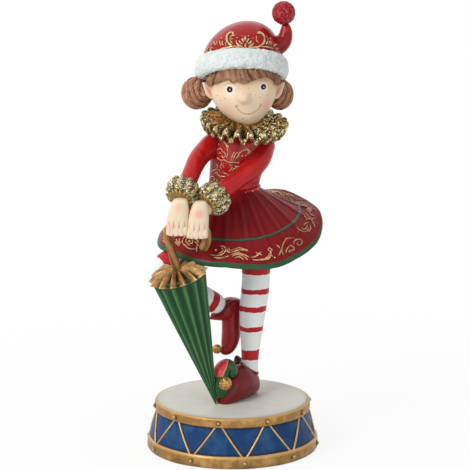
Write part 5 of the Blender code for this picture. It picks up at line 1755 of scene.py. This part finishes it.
cane = paint(
    "brown_gold_cane", "9C7040", "543414", "C09458", rough=0.38, coat=0.25, patch=3.0, grain=0.7, relief=0.06,
    metal=0.3, dapple=0.85,
)
bm = bmesh.new()
joints = [
    (*(CROWN_AT + STICK * 0.5), 2.2), (*(CROWN_AT + STICK * 5), 2.0), (*(CROWN_AT + STICK * 12), 1.9),
    (*CROOK_START, 1.9),
]
for step in range(1, 11):
    a = CROOK_SWEEP * step / 10
    spot = CROOK_CENTRE + Vector((-math.cos(a), 0, math.sin(a))) * CROOK_RADIUS
    joints.append((*spot, 1.95 if step < 8 else 2.1))
last, before = Vector(joints[-1][:3]), Vector(joints[-2][:3])
joints.append((*(last + (last - before) * 0.35), 1.7))
limb(
    bm, joints, 28, 120, section=lambda turn,
    share: (1 + 0.03 * math.sin(turn * 2 + share * 9), 0.30 + 0.5 * math.sin(turn * 3 + share * 14)),
)
piece("umbrella_stick", bm, cane)
bm = bmesh.new()
pit = CROWN_AT + STICK * 1.9 + STICK_FRONT * -2.75 + STICK_SIDE * -0.1
bmesh.ops.create_uvsphere(bm, u_segments=12, v_segments=8, radius=0.42, matrix=Matrix.Translation(pit))
bmesh.ops.create_uvsphere(
    bm, u_segments=10, v_segments=6, radius=0.2, matrix=Matrix.Translation(pit + Vector((0.1, 0, -0.35))),
)
piece("umbrella_pinhole", bm, paint("pinhole_shadow", "0C0906", "0C0906", "0C0906", rough=0.6, coat=0.0, relief=0.0))

# ---------------------------------------------------------------- the studio
# A pale sweep under soft, even light, as a catalogue picture of an ornament has.
# The sweep shows white to the camera and in reflections, and keeps the drum's shadow.

bm = bmesh.new()
bmesh.ops.create_grid(bm, x_segments=1, y_segments=1, size=3.0)
mesh = bpy.data.meshes.new("floor")
bm.to_mesh(mesh)
bm.free()
floor = bpy.data.objects.new("floor", mesh)
bpy.context.scene.collection.objects.link(floor)
floor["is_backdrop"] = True
card = bpy.data.materials.new("white_studio_card")
card.use_nodes = True
tree = card.node_tree
shader = tree.nodes["Principled BSDF"]
shader.inputs["Base Color"].default_value = linear("F4F4F2")
shader.inputs["Roughness"].default_value = 0.9
shader.inputs["Specular IOR Level"].default_value = 0.1
rays = add(tree, "ShaderNodeLightPath")
seen = maths(tree, "MAXIMUM", rays.outputs["Is Camera Ray"], rays.outputs["Is Glossy Ray"])
glow = add(tree, "ShaderNodeEmission", {"Color": (1, 1, 1, 1), "Strength": 1.0}).outputs[0]
spot = add(tree, "ShaderNodeTexCoord").outputs["Object"]
far = add(tree, "ShaderNodeVectorMath", {0: spot}, operation="LENGTH").outputs["Value"]
share = maths(tree, "MULTIPLY", seen, ramp(tree, far, 0.05, 0.35, 1.0, 0.86))
blend = add(tree, "ShaderNodeMixShader", {0: share, 1: shader.outputs[0], 2: glow}).outputs[0]
tree.links.new(blend, tree.nodes["Material Output"].inputs["Surface"])
mesh.materials.append(card)

world = bpy.data.worlds.new("studio")
bpy.context.scene.world = world
world.use_nodes = True
tree = world.node_tree
tree.nodes.clear()
rays = add(tree, "ShaderNodeLightPath")
bent_rays = maths(tree, "MAXIMUM", rays.outputs["Is Glossy Ray"], rays.outputs["Is Transmission Ray"])
seen = maths(tree, "MAXIMUM", rays.outputs["Is Camera Ray"], bent_rays)
soft = add(tree, "ShaderNodeBackground", {"Color": (1, 1, 1, 1), "Strength": 0.52}).outputs[0]
white = add(tree, "ShaderNodeBackground", {"Color": (1, 1, 1, 1), "Strength": 1.0}).outputs[0]
lit = add(tree, "ShaderNodeMixShader", {0: seen, 1: soft, 2: white}).outputs[0]
add(tree, "ShaderNodeOutputWorld", {"Surface": lit})

AIM = Vector((0.0012, 0.0, 0.103))
for name, place, size, power in (
    ("key", (-0.75, -0.75, 0.72), 0.5, 8.8),
    ("fill", (0.8, -0.95, 0.10), 0.9, 2.2),
    ("top", (-0.15, 0.45, 0.95), 1.3, 3.2),
    ("back", (-0.55, 0.9, 0.5), 0.9, 0.7),
):
    lamp = bpy.data.lights.new(name, "AREA")
    lamp.size, lamp.energy = size, power
    stand = bpy.data.objects.new(name, lamp)
    stand.location = AIM + Vector(place)
    stand.rotation_euler = (-Vector(place)).to_track_quat("-Z", "Y").to_euler()
    bpy.context.scene.collection.objects.link(stand)

# The photograph was taken from a little above, through a long lens
DISTANCE, ELEVATION = 0.9, math.radians(10.5)
camera = bpy.data.objects.new("camera", bpy.data.cameras.new("camera"))
camera.data.sensor_width, camera.data.lens = 36.0, 1902 * 36 / 470
camera.data.clip_start, camera.data.clip_end = 0.05, 20.0
target = Vector((0.0012076, 0.0, 0.10285))
camera.location = target + Vector((0, -math.cos(ELEVATION), math.sin(ELEVATION))) * DISTANCE
camera.rotation_euler = (math.radians(90) - ELEVATION, 0, 0)
bpy.context.scene.collection.objects.link(camera)
bpy.context.scene.camera = camera
bpy.context.scene.view_settings.view_transform = "Standard"

low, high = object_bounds()
